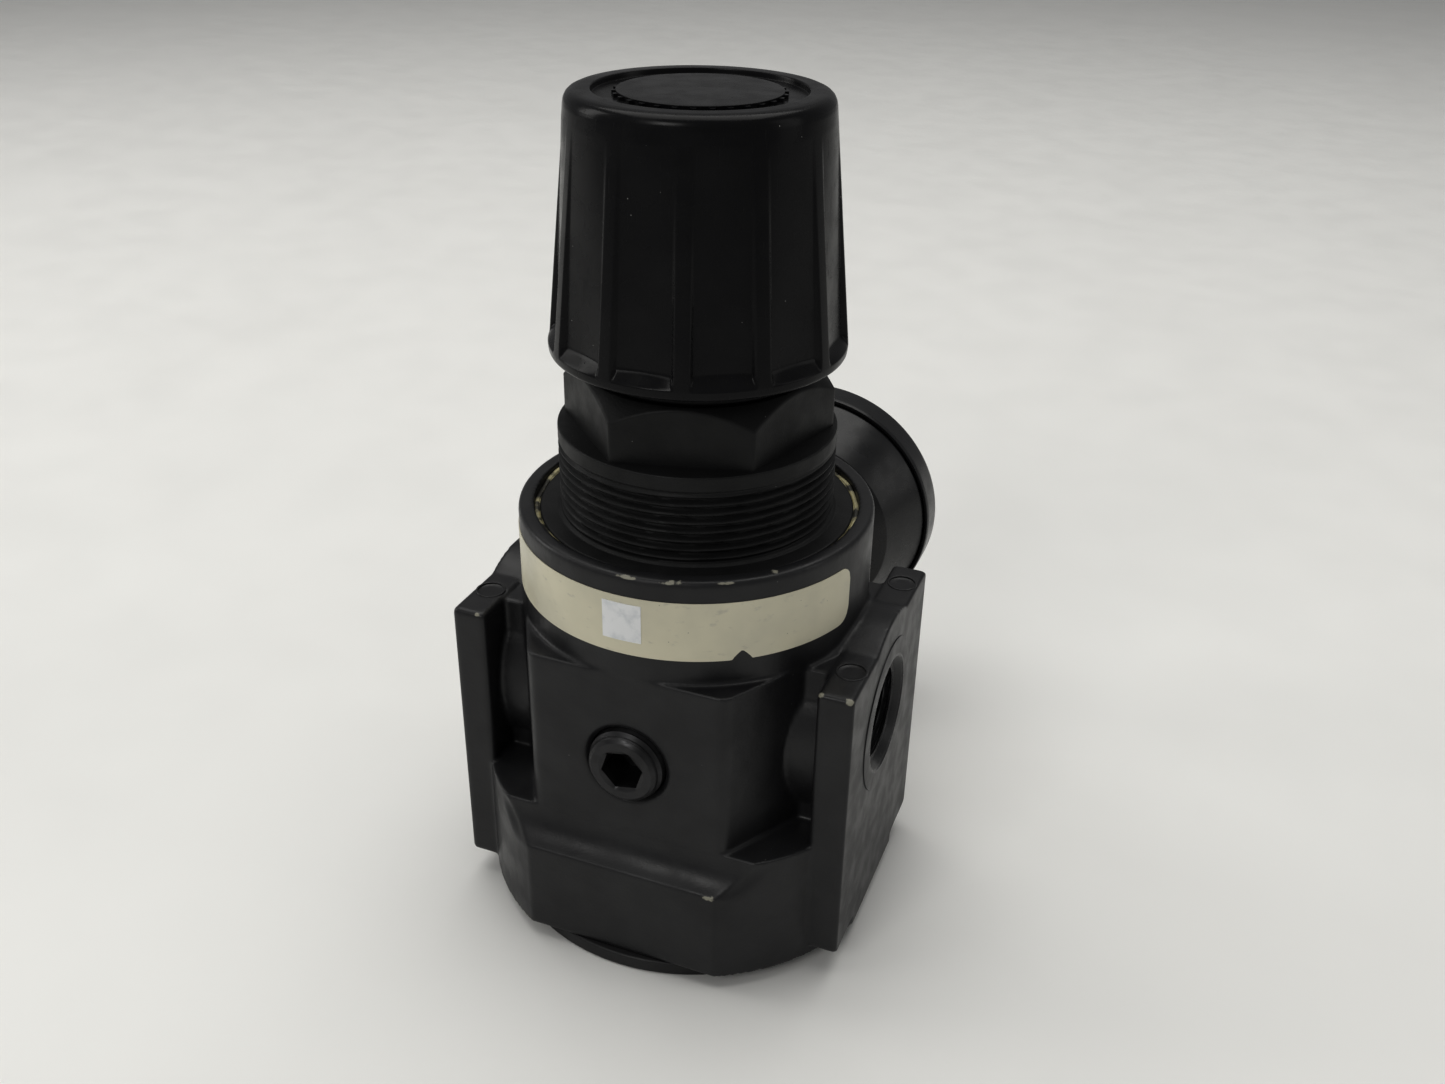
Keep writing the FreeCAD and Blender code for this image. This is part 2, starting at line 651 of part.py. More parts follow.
def knob():
    height = dim.knob_top - dim.knob_low
    widest = dim.knob_widest - dim.knob_low
    ledge = dim.knob_ledge - dim.knob_low
    top_round = dim.knob_top_round
    recess_floor = height - 1.4
    skirt, roof, hub_low = 18.3, height - 5, 8.4
    outside = lathe("knob_turned",
                    [(skirt, 0), (dim.knob_radius - 0.9, 0), (dim.knob_radius, widest, 1.6),
                     (dim.knob_radius - 0.3, ledge), (dim.knob_top_radius, height - top_round),
                     (dim.knob_top_radius - top_round, height, top_round + 0.1),
                     (dim.knob_recess, height), (dim.knob_recess - 0.3, recess_floor),
                     (0, recess_floor), (0, roof), (skirt - 3, roof), (skirt, hub_low)])
    hub = cylinder("knob_hub", 10.0, roof - hub_low + 1, (0, 0, hub_low))
    bore = prism("knob_socket", dim.drive_flats + 0.12, roof - hub_low - 1, (0, 0, hub_low - 1))
    flutes = []
    flute_radius, flute_depth, flute_count = 9.0, 0.9, 12
    lean = math.degrees(math.atan2(number(dim.knob_radius - dim.knob_top_radius), number(height - ledge)))
    out = dim.knob_radius + flute_radius - flute_depth
    for index in range(flute_count):
        angle = 1.5 + 360 * index / flute_count
        spot = Rotation(Vector(0, 0, 1), angle).multVec(Vector(number(out), 0, number(ledge)))
        turn = Rotation(Vector(0, 0, 1), angle) * Rotation(Vector(0, 1, 0), -lean)
        flutes.append(cylinder("flute", flute_radius, height, tuple(spot), turn))
    body = cut("knob_bored", join("knob_solid", outside, hub), bore, *flutes)
    return place(body, (0, 0, dim.knob_low), UPRIGHT)


piece(knob(), "knob")
cap_floor = dim.knob_top - 1.4
piece(lathe("cap_disc",
            [(0, 0), (dim.knob_cap_radius, 0), (dim.knob_cap_radius, 0.8),
             (dim.knob_cap_radius - 0.4, 1.2, 0.45), (0, 1.2)], (0, 0, cap_floor)), "knob_cap")
piece(torus("lock_ring", 17.84, 0.44, (0, 0, dim.knob_low + 4.5)), "knob_lock_ring")


# ---- plug and label ----

def port_plug():
    proud, face, depth = 1.9, 5.7, 11.0
    start = -dim.hex_flats / 2 + depth
    blank = lathe("plug_turned",
                  [(0, 0), (dim.gauge_port - 0.9, 0), (dim.gauge_port - 0.02, 1.0),
                   (dim.gauge_port - 0.02, depth - 0.9), (face + 0.5, depth), (face + 0.5, depth + 0.6),
                   (face, depth + proud, 0.8), (0, depth + proud)], (0, start, dim.plug_height), FRONT)
    socket_flats = Size(6.35, "6.35")
    socket = prism("plug_socket", socket_flats, 8.0,
                   (0, -dim.hex_flats / 2 + 5, dim.plug_height), FRONT, 12)
    return cut("plug_finished", blank, socket)


piece(port_plug(), "gauge_port_plug")


def wrapped_sheet(name, inner, low, high, first, last):
    """A thin sheet wrapped on the collar between two plan angles."""
    ring = lathe(name, [(inner, 0), (inner + dim.label_thick, 0), (inner + dim.label_thick, high - low),
                        (inner, high - low)], (0, 0, low), Rotation(Vector(0, 0, 1), first), last - first)
    return ring


label_half_angle = 77.5
piece(wrapped_sheet("label_sheet", dim.collar_radius, dim.label_low, dim.label_top,
                    -90 - label_half_angle, -90 + label_half_angle), "label")
piece(wrapped_sheet("sticker_sheet", dim.collar_radius + dim.label_thick, dim.label_low + 2.4,
                    dim.label_top - 1.2, -98.5, -86.0), "label_sticker")


# ---- gauge ----
# Turned pieces of the gauge are drawn with their axis up and then laid along +Y, which turns their
# own Y axis to point down.

def gauge_place(item, along):
    return place(item, (0, along, dim.gauge_height), ALONG_Y)


def gauge_disc(name, inner, outer, start, end):
    return gauge_place(lathe(name, [(inner, 0), (outer, 0), (outer, end - start), (inner, end - start)]), start)


def gauge_rod(name, radius, across, down, start, end):
    return cylinder(name, radius, end - start, (across, start, dim.gauge_height - down), ALONG_Y)


def gauge_case():
    wall = 0.8
    back, front = 0, dim.case_front - dim.case_back
    flank = dim.case_shoulder - dim.case_back
    return gauge_place(
        lathe("case_pressed",
              [(7.0, back), (17.5, back), (dim.case_radius, flank, 16.0), (dim.case_radius, front - 1.5),
               (dim.bezel_radius - 0.72, front - 1.5), (dim.bezel_radius - 0.72, front),
               (dim.case_radius - wall, front), (dim.case_radius - wall, flank),
               (17.2, back + wall, -15.2), (7.0, back + wall)]), dim.case_back)


piece(gauge_case(), "gauge_case")
bezel_length = dim.bezel_front - dim.case_shoulder
piece(gauge_place(
    lathe("bezel_turned",
          [(dim.bezel_radius - 0.7, 0), (dim.bezel_radius - 0.2, 0), (dim.bezel_radius, 1.2),
           (dim.bezel_radius, bezel_length - 1.0), (dim.bezel_radius - 1.0, bezel_length, 1.0),
           (22.0, bezel_length), (22.0, bezel_length - 0.6), (dim.bezel_radius - 0.7, bezel_length - 0.6)]),
    dim.case_shoulder), "gauge_bezel")
piece(gauge_disc("lens_seal", 22.6, dim.bezel_radius - 0.72, dim.case_front, dim.case_front + 0.5),
      "gauge_lens_gasket")
piece(gauge_disc("lens_disc", 0, dim.bezel_radius - 0.72, dim.case_front + 0.5, dim.bezel_front - 0.6),
      "gauge_lens")
piece(gauge_disc("dial_disc", 2.2, 22.8, dim.dial_face - 0.4, dim.dial_face), "gauge_dial")

socket_flats = Size(14.3, "14.3")
tap_end = dim.hex_flats / 2 - 10
socket_body = join(
    "socket_fused",
    gauge_place(lathe("socket_turned",
                      [(0, 0), (dim.gauge_port - 0.7, 0), (dim.gauge_port - 0.02, 2),
                       (dim.gauge_port - 0.02, dim.socket_hex - tap_end - 0.8), (6.0, dim.socket_hex - tap_end),
                       (6.9, dim.case_back - tap_end), (6.9, dim.case_back + 5.5 - tap_end),
                       (0, dim.case_back + 5.5 - tap_end)]), tap_end),
    prism("socket_hex", socket_flats, 12.0, (0, dim.socket_hex, dim.gauge_height), ALONG_Y),
    box("socket_arm", (5.5, dim.case_back + 1.6, dim.gauge_height - 15.5),
        (8.5, dim.case_back + 5.5, dim.gauge_height)))
socket_bore = cylinder("socket_bore", 2.5, 30.0, (0, tap_end - 1, dim.gauge_height), ALONG_Y)
piece(cut("socket_bored", socket_body, socket_bore), "gauge_socket")

tube_low, tube_high, tube_half = 3.5, 8.5, 1.0
bourdon = lathe("bourdon",
                [(dim.tube_radius - tube_half, tube_low + 1), (dim.tube_radius, tube_low, 1.0),
                 (dim.tube_radius + tube_half, tube_low + 1, 1.0),
                 (dim.tube_radius + tube_half, tube_high - 1), (dim.tube_radius, tube_high, 1.0),
                 (dim.tube_radius - tube_half, tube_high - 1, 1.0)],
                (0, dim.case_back, dim.gauge_height), ALONG_Y * Rotation(Vector(0, 0, 1), 145), 275)
piece(bourdon, "bourdon_tube")

# the tube's closed end, to the left and below the arbor
tip_angle = math.radians(145)
tip_across = math.cos(tip_angle) * DIMENSIONS["tube_radius"]
tip_down = math.sin(tip_angle) * DIMENSIONS["tube_radius"]
link_low = dim.case_back + 10.6
piece(gauge_rod("tip_post", 1.0, tip_across - 0.5, tip_down + 0.7, dim.case_back + tube_high, link_low + 0.8),
      "tube_tip_post")

gear_distance = dim.gear_module * (dim.pinion_teeth + dim.sector_teeth) / 2
tail_reach, tail_angle = 4.2, math.radians(140)
tail_across = math.cos(tail_angle) * tail_reach
tail_down = gear_distance + math.sin(tail_angle) * tail_reach
link_half = 0.5
link_run = Vector(tip_across - tail_across, tip_down - number(tail_down))
link_length = Size(link_run.Length - 1.6, "(%.6f)" % (link_run.Length - 1.6))
link_turn = ALONG_Y * Rotation(Vector(0, 0, 1), math.degrees(math.atan2(link_run.y, link_run.x)))
piece(plate("link_bar", [(0, link_half), (0, -link_half), (link_length, -link_half), (link_length, link_half)],
            0.5, (tail_across, link_low + 0.1, dim.gauge_height - tail_down), link_turn), "tube_link")

plate_half = 4.6
for word, start in (("rear", dim.case_back + 5.5), ("front", dim.case_back + 12.0)):
    blank = gauge_place(plate(word + "_movement_blank",
                              [(plate_half, -4), (plate_half, gear_distance + 2.4), (-plate_half, gear_distance + 2.4),
                               (-plate_half, -4)], 0.7), start)
    holes = [gauge_rod(word + "_arbor_hole", 0.7, 0, 0, start - 1, start + 2),
             gauge_rod(word + "_pivot_hole", 0.7, 0, gear_distance, start - 1, start + 2)]
    piece(cut(word + "_movement_drilled", blank, *holes), "movement_%s_plate" % word)
posts = [gauge_rod("post", 0.9, across, down, dim.case_back + 6.2, dim.case_back + 12.0)
         for across, down in ((-3.4, -2.6), (3.4, -2.6))]
piece(join("movement_posts_fused", *posts), "movement_posts")
studs = [gauge_rod("stud", 0.7, across, -2.6, dim.case_back + 12.7, dim.dial_face - 0.4)
         for across in (-3.4, 3.4)]
piece(join("dial_studs_fused", *studs), "dial_studs")

PRESSURE_ANGLE = math.radians(20)
BACKLASH = 0.12


def involute(angle):
    return math.tan(angle) - angle


def tooth_points(teeth, middle):
    """One involute tooth about a gear's axis, as points from its root up, over and down again."""
    module = DIMENSIONS["gear_module"]
    pitch = module * teeth / 2
    base = pitch * math.cos(PRESSURE_ANGLE)
    root, tip = pitch - 1.1 * module, pitch + 0.8 * module
    half = math.pi / 2 / teeth - BACKLASH * module / pitch + involute(PRESSURE_ANGLE)
    start = max(base, root) + 0.001
    radii = [start + (tip - start) * step / 4 for step in range(5)]
    offsets = [half - involute(math.acos(base / radius)) for radius in radii]
    rising = [(root, -offsets[0])] + [(radius, -offset) for radius, offset in zip(radii, offsets)]
    falling = [(radius, -offset) for radius, offset in reversed(rising)]
    return [Vector(radius * math.cos(middle + offset), radius * math.sin(middle + offset))
            for radius, offset in rising + falling]


def solid_of(points, thickness):
    wire = Part.makePolygon(points + [points[0]])
    return Part.Face(wire).extrude(Vector(0, 0, thickness))


def gear_feature(name, shape, down, start):
    """A gear's Part::Feature: its teeth are points on involutes, which no sketch holds."""
    item = doc.addObject("Part::Feature", name)
    item.Shape = shape
    return place(item, (0, start, dim.gauge_height - down), ALONG_Y)


teeth_of_pinion = DIMENSIONS["pinion_teeth"]
pinion_points = []
for index in range(teeth_of_pinion):
    pinion_points += tooth_points(teeth_of_pinion, math.pi / 2 + 2 * math.pi * index / teeth_of_pinion)
gear_low = dim.case_back + 8.6
arbor = join("arbor_fused",
             gear_feature("pinion_teeth", solid_of(pinion_points, 1.6), 0, gear_low - 0.3),
             gauge_rod("arbor_rod", 0.62, 0, 0, dim.case_back + 5.6, dim.dial_face + 0.7))
piece(arbor, "pinion_arbor")

teeth_of_sector = DIMENSIONS["sector_teeth"]
sector_points = []
first_tooth, last_tooth = -11, 2
for index in range(first_tooth, last_tooth):
    middle = -math.pi / 2 + 2 * math.pi * (index + 0.5) / teeth_of_sector
    sector_points += tooth_points(teeth_of_sector, middle)
hub_spread = [math.radians(angle) for angle in (-20, 60, 125, 155, 215)]
hub_reach = [1.6, 1.6, tail_reach + 0.6, tail_reach + 0.6, 1.6]
sector_points += [Vector(reach * math.cos(angle), reach * math.sin(angle))
                  for angle, reach in zip(hub_spread, hub_reach)]
sector = join("sector_fused",
              gear_feature("sector_teeth_face", solid_of(sector_points, 1.0), gear_distance, gear_low),
              gauge_rod("sector_rod", 0.62, 0, gear_distance, dim.case_back + 5.6, dim.case_back + 12.6))
piece(sector, "sector_gear")

pointer_reach, pointer_tail = 18.5, 6.0
needle = join("pointer_fused",
              gauge_place(plate("pointer_blade",
                                [(pointer_reach, 0.15), (-pointer_tail, 1.3), (-pointer_tail, -1.3),
                                 (pointer_reach, -0.15)], 0.35), dim.dial_face + 0.75),
              gauge_rod("pointer_hub", 1.7, 0, 0, dim.dial_face + 0.7, dim.dial_face + 1.7))
piece(needle, "gauge_pointer")


# ---- check and write ----

doc.recompute()
# the pointer is drawn along the X axis and points at the zero mark, 45 degrees round the arbor
axis_point = Vector(0, 0, DIMENSIONS["gauge_height"])
needle.Placement = Placement(Vector(), Rotation(Vector(0, 1, 0), 45), axis_point)
doc.recompute()

failed = [item.Name for item in doc.Objects if {"Invalid", "Error"} & set(item.State)]
if failed:
    raise SystemExit("failed features: " + ", ".join(failed))
os.makedirs("parts", exist_ok=True)
for item in pieces:
    if item.Shape.isNull() or not item.Shape.isValid() or not item.Shape.Solids:
        raise SystemExit("bad shape: " + item.Label)
    item.Shape.exportStep("parts/%s.step" % item.Label)
    print("%-24s solids %d volume %10.2f" % (item.Label, len(item.Shape.Solids), item.Shape.Volume))
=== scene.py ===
import json
import math

import bmesh
import bpy
import numpy as np
from mathutils import Matrix, Vector


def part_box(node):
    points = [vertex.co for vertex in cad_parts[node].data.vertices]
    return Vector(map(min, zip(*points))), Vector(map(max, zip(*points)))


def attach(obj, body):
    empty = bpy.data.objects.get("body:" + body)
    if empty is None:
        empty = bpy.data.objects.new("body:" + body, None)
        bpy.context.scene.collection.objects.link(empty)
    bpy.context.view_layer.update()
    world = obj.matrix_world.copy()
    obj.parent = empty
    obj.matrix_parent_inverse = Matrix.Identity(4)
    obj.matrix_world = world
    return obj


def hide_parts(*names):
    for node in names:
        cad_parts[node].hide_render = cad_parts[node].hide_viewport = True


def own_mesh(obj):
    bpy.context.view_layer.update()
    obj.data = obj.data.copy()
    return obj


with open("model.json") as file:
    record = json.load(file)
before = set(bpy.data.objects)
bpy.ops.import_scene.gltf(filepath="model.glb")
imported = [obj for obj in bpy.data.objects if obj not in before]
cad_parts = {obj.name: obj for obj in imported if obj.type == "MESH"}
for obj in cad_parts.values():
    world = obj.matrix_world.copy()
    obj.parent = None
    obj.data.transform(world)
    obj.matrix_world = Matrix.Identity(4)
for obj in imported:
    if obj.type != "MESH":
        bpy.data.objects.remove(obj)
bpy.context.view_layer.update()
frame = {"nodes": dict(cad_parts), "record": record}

MM = 0.001
SCENE = bpy.context.scene


# ---- reading the frame, in millimetres ----

def span(node):
    """Lowest and highest corner of a CAD node."""
    low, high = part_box(node)
    return [value / MM for value in low], [value / MM for value in high]


def half_width(node):
    """Half of a CAD node's size along X, which is its radius if it is round."""
    low, high = span(node)
    return (high[0] - low[0]) / 2


def middle(node):
    """The centre of a CAD node's box."""
    low, high = span(node)
    return [(a + b) / 2 for a, b in zip(low, high)]


(_, _, BODY_LOW), (PORT_FACE, _, _) = span("body")
GAUGE_HEIGHT = middle("gauge_bezel")[2]
PLUG_HEIGHT = middle("gauge_port_plug")[2]
MOUNTS = {mount["name"]: mount for mount in frame["record"]["mounts"]}
PORT_HEIGHT = MOUNTS["outlet_port"]["pos_m"][2] / MM
PORT_RADIUS = MOUNTS["outlet_port"]["dims"]["r_mm"]
THREAD_RADIUS = MOUNTS["panel_thread"]["dims"]["r_mm"]


# ---- mesh building blocks ----

AXES = {
    # the object's X, Y and Z of a piece turned about its own axis
    "z": lambda x, y, z: (x, y, z),
    "y": lambda x, y, z: (x, z, -y),
    "-y": lambda x, y, z: (x, -z, y),
    "x": lambda x, y, z: (z, y, -x),
    "-x": lambda x, y, z: (-z, y, x),
}


def make_piece(name, points, faces, body, material, replaced=(), crease=32):
    """A finished mesh piece from points in millimetres."""
    mesh = bpy.data.meshes.new(name)
    mesh.from_pydata([tuple(value * MM for value in point) for point in points], [], faces)
    tidy = bmesh.new()
    tidy.from_mesh(mesh)
    bmesh.ops.recalc_face_normals(tidy, faces=tidy.faces)
    tidy.to_mesh(mesh)
    tidy.free()
    mesh.polygons.foreach_set("use_smooth", [True] * len(mesh.polygons))
    mesh.set_sharp_from_angle(angle=math.radians(crease))
    piece = bpy.data.objects.new(name, mesh)
    SCENE.collection.objects.link(piece)
    return settle(piece, body, material, replaced)


def settle(piece, body, material, replaced=()):
    """Gives a piece its material and the body it rides on, and hides the CAD nodes it stands for."""
    piece.data.materials.clear()
    piece.data.materials.append(material)
    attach(piece, body)
    if replaced:
        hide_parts(*replaced)
    return piece


def soften(outline, steps=5):
    """Rounds the corners of an outline. A corner's third value is its radius."""
    points = []
    for index, corner in enumerate(outline):
        here = np.array(corner[:2], float)
        if len(corner) < 3:
            points.append(here)
            continue
        back = np.array(outline[index - 1][:2], float) - here
        ahead = np.array(outline[(index + 1) % len(outline)][:2], float) - here
        lengths = np.linalg.norm(back), np.linalg.norm(ahead)
        back, ahead = back / lengths[0], ahead / lengths[1]
        half_angle = math.acos(float(np.clip(back @ ahead, -1, 1))) / 2
        reach = min(corner[2] / math.tan(half_angle), 0.49 * lengths[0], 0.49 * lengths[1])
        start, end = here + back * reach, here + ahead * reach
        for part in np.linspace(0, 1, steps + 1):
            points.append((1 - part) ** 2 * start + 2 * part * (1 - part) * here + part ** 2 * end)
    return points


def divided(points, longest):
    """The same closed outline, with no run longer than the given length."""
    dense = []
    for index, here in enumerate(points):
        following = points[(index + 1) % len(points)]
        both_on_axis = here[0] < 1e-6 and following[0] < 1e-6
        count = 1 if both_on_axis else max(1, math.ceil(np.linalg.norm(following - here) / longest))
        dense += [here + (following - here) * part / count for part in range(count)]
    return dense


def spin(points, segments, shape=None, axis="z", centre=(0, 0, 0)):
    """Turns a closed outline of (radius, height) points about an axis. A shape function may move
    the rings: it takes angle, radius and height arrays and returns the new radius and height."""
    angles = np.linspace(0, 2 * math.pi, segments, endpoint=False)
    vertices, rings = [], []
    for radius, height in points:
        if radius < 1e-6:
            rings.append([len(vertices)])
            vertices.append((0, 0, height))
            continue
        radii, heights = np.full(segments, radius), np.full(segments, height)
        if shape:
            radii, heights = shape(angles, radii, heights)
        rings.append(list(range(len(vertices), len(vertices) + segments)))
        vertices += list(zip(radii * np.cos(angles), radii * np.sin(angles), heights))
    faces = []
    for index, ring in enumerate(rings):
        upper = rings[(index + 1) % len(rings)]
        for step in range(segments):
            after = (step + 1) % segments
            corners = [ring[step % len(ring)], ring[after % len(ring)],
                       upper[after % len(upper)], upper[step % len(upper)]]
            corners = list(dict.fromkeys(corners))
            if len(corners) > 2:
                faces.append(corners)
    turn = AXES[axis]
    placed = [tuple(a + b for a, b in zip(turn(*vertex), centre)) for vertex in vertices]
    return placed, faces


def spun(name, outline, body, material, replaced=(), segments=160, longest=1e9, shape=None,
         axis="z", centre=(0, 0, 0), crease=32, steps=5):
    """A turned piece from a closed outline of (radius, height, corner radius) points."""
    points, faces = spin(divided(soften(outline, steps), longest), segments, shape, axis, centre)
    return make_piece(name, points, faces, body, material, replaced, crease)


def smooth_step(value, start, end):
    """Rises smoothly from 0 at the start to 1 at the end."""
    part = np.clip((value - start) / (end - start), 0, 1)
    return part * part * (3 - 2 * part)


def hexagon(angles, flats, spin_degrees):
    """Radius of a hexagon at each angle; its corners stand at the spin angle and every 60 degrees."""
    inside = (angles - math.radians(spin_degrees)) % (math.pi / 3) - math.pi / 6
    return flats / 2 / np.cos(inside)


def thread_depth(angles, heights, pitch, depth, flat=0.14):
    """How far below the crest a helical thread lies, for a thread that climbs with the angle."""
    phase = np.abs((heights / pitch - angles / (2 * math.pi)) % 1 * 2 - 1)
    return depth * np.clip((phase - flat) / (1 - 2 * flat), 0, 1)


# ---- materials ----

def node(tree, kind, settings=None, **inputs):
    """Adds a shader node. An input is a value or another node's socket, named with _ for spaces."""
    item = tree.nodes.new("ShaderNode" + kind)
    for key, value in (settings or {}).items():
        setattr(item, key, value)
    for key, value in inputs.items():
        numbered = key[0] == "i" and key[1:].isdigit()
        socket = item.inputs[int(key[1:]) if numbered else key.replace("_", " ")]
        if isinstance(value, bpy.types.NodeSocket):
            tree.links.new(value, socket)
        else:
            socket.default_value = value
    return item


def noise(tree, size, detail=2.0, stretch=(1, 1, 1)):
    """Noise with features of about the given size in millimetres."""
    place = node(tree, "TexCoord").outputs["Object"]
    scaled = node(tree, "Mapping", Vector=place, Scale=stretch).outputs["Vector"]
    return node(tree, "TexNoise", Vector=scaled, Scale=1 / (size * MM), Detail=detail).outputs[0]


def ramp(tree, value, start, end, low=0.0, high=1.0):
    """Maps a socket's range from start to end onto low to high, smoothly."""
    settings = {"interpolation_type": "SMOOTHSTEP"}
    made = node(tree, "MapRange", settings, Value=value, i1=start, i2=end, i3=low, i4=high)
    return made.outputs[0]


def maths(tree, operation, first, second=0.0):
    """One Math node."""
    return node(tree, "Math", {"operation": operation}, i0=first, i1=second).outputs[0]


def mixed(tree, factor, first, second):
    """The first colour, going over to the second where the factor is 1."""
    made = node(tree, "Mix", {"data_type": "RGBA"}, i0=factor)
    for index, value in ((6, first), (7, second)):
        if isinstance(value, bpy.types.NodeSocket):
            tree.links.new(value, made.inputs[index])
        else:
            made.inputs[index].default_value = (*value, 1)
    return made.outputs[2]


def bump(tree, height, depth, normal=None):
    """Bump whose full height is the given depth in millimetres."""
    made = node(tree, "Bump", Height=height, Distance=depth * MM, Strength=1.0)
    if normal:
        tree.links.new(normal, made.inputs["Normal"])
    return made.outputs["Normal"]


def spots(tree, spacing, size, share):
    """Scattered round specks, one cell in so many, with a spacing and a size in millimetres."""
    place = node(tree, "TexCoord").outputs["Object"]
    cells = node(tree, "TexVoronoi", Vector=place, Scale=1 / (spacing * MM))
    near = ramp(tree, cells.outputs["Distance"], size / spacing, size / spacing * 0.6)
    chosen = node(tree, "SeparateColor", Color=cells.outputs["Color"]).outputs[0]
    return maths(tree, "MULTIPLY", near, maths(tree, "LESS_THAN", chosen, share))


def near_point(tree, at, reach, flatness=1.0):
    """1 at a place on the object, falling to 0 at the reach, in millimetres. A flatness over 1 makes
    the reach that many times shorter in height."""
    place = node(tree, "TexCoord").outputs["Object"]
    offset = node(tree, "VectorMath", {"operation": "SUBTRACT"}, i0=place, i1=[value * MM for value in at])
    squashed = node(tree, "VectorMath", {"operation": "MULTIPLY"}, i0=offset.outputs[0], i1=(1, 1, flatness))
    away = node(tree, "VectorMath", {"operation": "LENGTH"}, i0=squashed.outputs[0]).outputs["Value"]
    return ramp(tree, away, reach * MM, 0.0)


def new_material(name, **sockets):
    """A material with constants set on its shader's own sockets."""
    material = bpy.data.materials.new(name)
    material.use_nodes = True
    shader = material.node_tree.nodes["Principled BSDF"]
    for key, value in sockets.items():
        if key == "Base_Color":
            value = (*value, 1)
        shader.inputs[key.replace("_", " ")].default_value = value
    return material, material.node_tree, shader


def wire(tree, shader, **sockets):
    """Links patterns to the shader's sockets."""
    for key, socket in sockets.items():
        tree.links.new(socket, shader.inputs[key.replace("_", " ")])


def cast_paint():
    """Satin black paint on a die casting: fine grain, soft waves, a few specks, and lighter edges and patches
    that are partly real wear and partly painted highlights.
    """
    material, tree, shader = new_material("cast_paint", Specular_IOR_Level=0.5)
    cloud = noise(tree, 14, 3)
    grain = noise(tree, 0.45, 3)
    colour = mixed(tree, ramp(tree, cloud, 0.35, 0.7), (0.013, 0.013, 0.0145), (0.020, 0.0205, 0.022))
    specks = maths(tree, "MULTIPLY", spots(tree, 2.6, 0.1, 0.22), 0.45)
    colour = mixed(tree, specks, colour, (0.3, 0.3, 0.29))
    # Convex edges are lightened: partly real wear of the paint, partly a painted glint along the sharp edges.
    edge = ramp(tree, node(tree, "NewGeometry").outputs["Pointiness"], 0.53, 0.60)
    edge_wear_and_glint = maths(tree, "MULTIPLY", edge, ramp(tree, noise(tree, 3.0, 4), 0.42, 0.62))
    # Patches of lighter paint at the listed places: real wear, and on the collar rim partly a painted
    # highlight.
    patches = 0.0
    for at, reach, flatness in WEAR_AND_HIGHLIGHT_PLACES:
        patches = maths(tree, "MAXIMUM", near_point(tree, at, reach, flatness), patches)
    ragged = maths(tree, "MULTIPLY", patches, noise(tree, 1.1, 4))
    bare_and_highlight = maths(tree, "MULTIPLY", ramp(tree, ragged, 0.30, 0.42), 0.8)
    colour = mixed(tree, maths(tree, "MULTIPLY", edge_wear_and_glint, 0.5), colour, (0.13, 0.13, 0.13))
    colour = mixed(tree, bare_and_highlight, colour, (0.34, 0.33, 0.27))
    rough = ramp(tree, noise(tree, 5.0, 4), 0.3, 0.7, 0.33, 0.46)
    normal = bump(tree, noise(tree, 6.0, 2), 0.10)
    normal = bump(tree, grain, 0.022, normal)
    wire(tree, shader, Base_Color=colour, Roughness=rough, Normal=normal)
    return material


def moulded(name, dark, light, rough, grain_size, grain_depth, dust=0.5, scratch=0.0, shine=0.5):
    """Moulded plastic with a grain, uneven gloss, fine dust and hairline scratches."""
    material, tree, shader = new_material(name, Specular_IOR_Level=shine)
    colour = mixed(tree, ramp(tree, noise(tree, 9, 3), 0.35, 0.7), dark, light)
    specks = maths(tree, "MULTIPLY", spots(tree, 2.2, 0.09, 0.3), dust)
    colour = mixed(tree, specks, colour, (0.5, 0.5, 0.48))
    sheen = ramp(tree, noise(tree, 4.0, 4), 0.3, 0.7, rough - 0.05, rough + 0.07)
    lines = ramp(tree, noise(tree, 0.35, 2, (1, 1, 0.06)), 0.66, 0.72)
    sheen = maths(tree, "ADD", sheen, maths(tree, "MULTIPLY", lines, scratch))
    normal = bump(tree, noise(tree, grain_size, 3), grain_depth)
    wire(tree, shader, Base_Color=colour, Roughness=sheen, Normal=normal)
    return material


def metal(name, colour, rough, stretch=(1, 1, 1), tarnish=(0.3, 0.3, 0.3), tarnished=0.25, metallic=1.0):
    """Machined or drawn metal: fine tool lines along one way and patches of tarnish."""
    material, tree, shader = new_material(name, Metallic=metallic)
    stain = maths(tree, "MULTIPLY", ramp(tree, noise(tree, 4.0, 4), 0.45, 0.75), tarnished)
    wire(tree, shader, Base_Color=mixed(tree, stain, colour, tarnish),
         Roughness=ramp(tree, noise(tree, 0.5, 3, stretch), 0.3, 0.7, rough - 0.06, rough + 0.1),
         Normal=bump(tree, noise(tree, 0.35, 2, stretch), 0.006))
    return material


def rubber(name, colour=(0.018, 0.018, 0.018)):
    """Black seal rubber with a little dust."""
    material, tree, shader = new_material(name)
    dust = tuple(4 * part for part in colour)
    dusty = mixed(tree, ramp(tree, noise(tree, 2.5, 4), 0.5, 0.8), colour, dust)
    wire(tree, shader, Base_Color=dusty, Roughness=ramp(tree, noise(tree, 1.5, 3), 0.3, 0.7, 0.55, 0.75),
         Normal=bump(tree, noise(tree, 0.3, 3), 0.01))
    return material


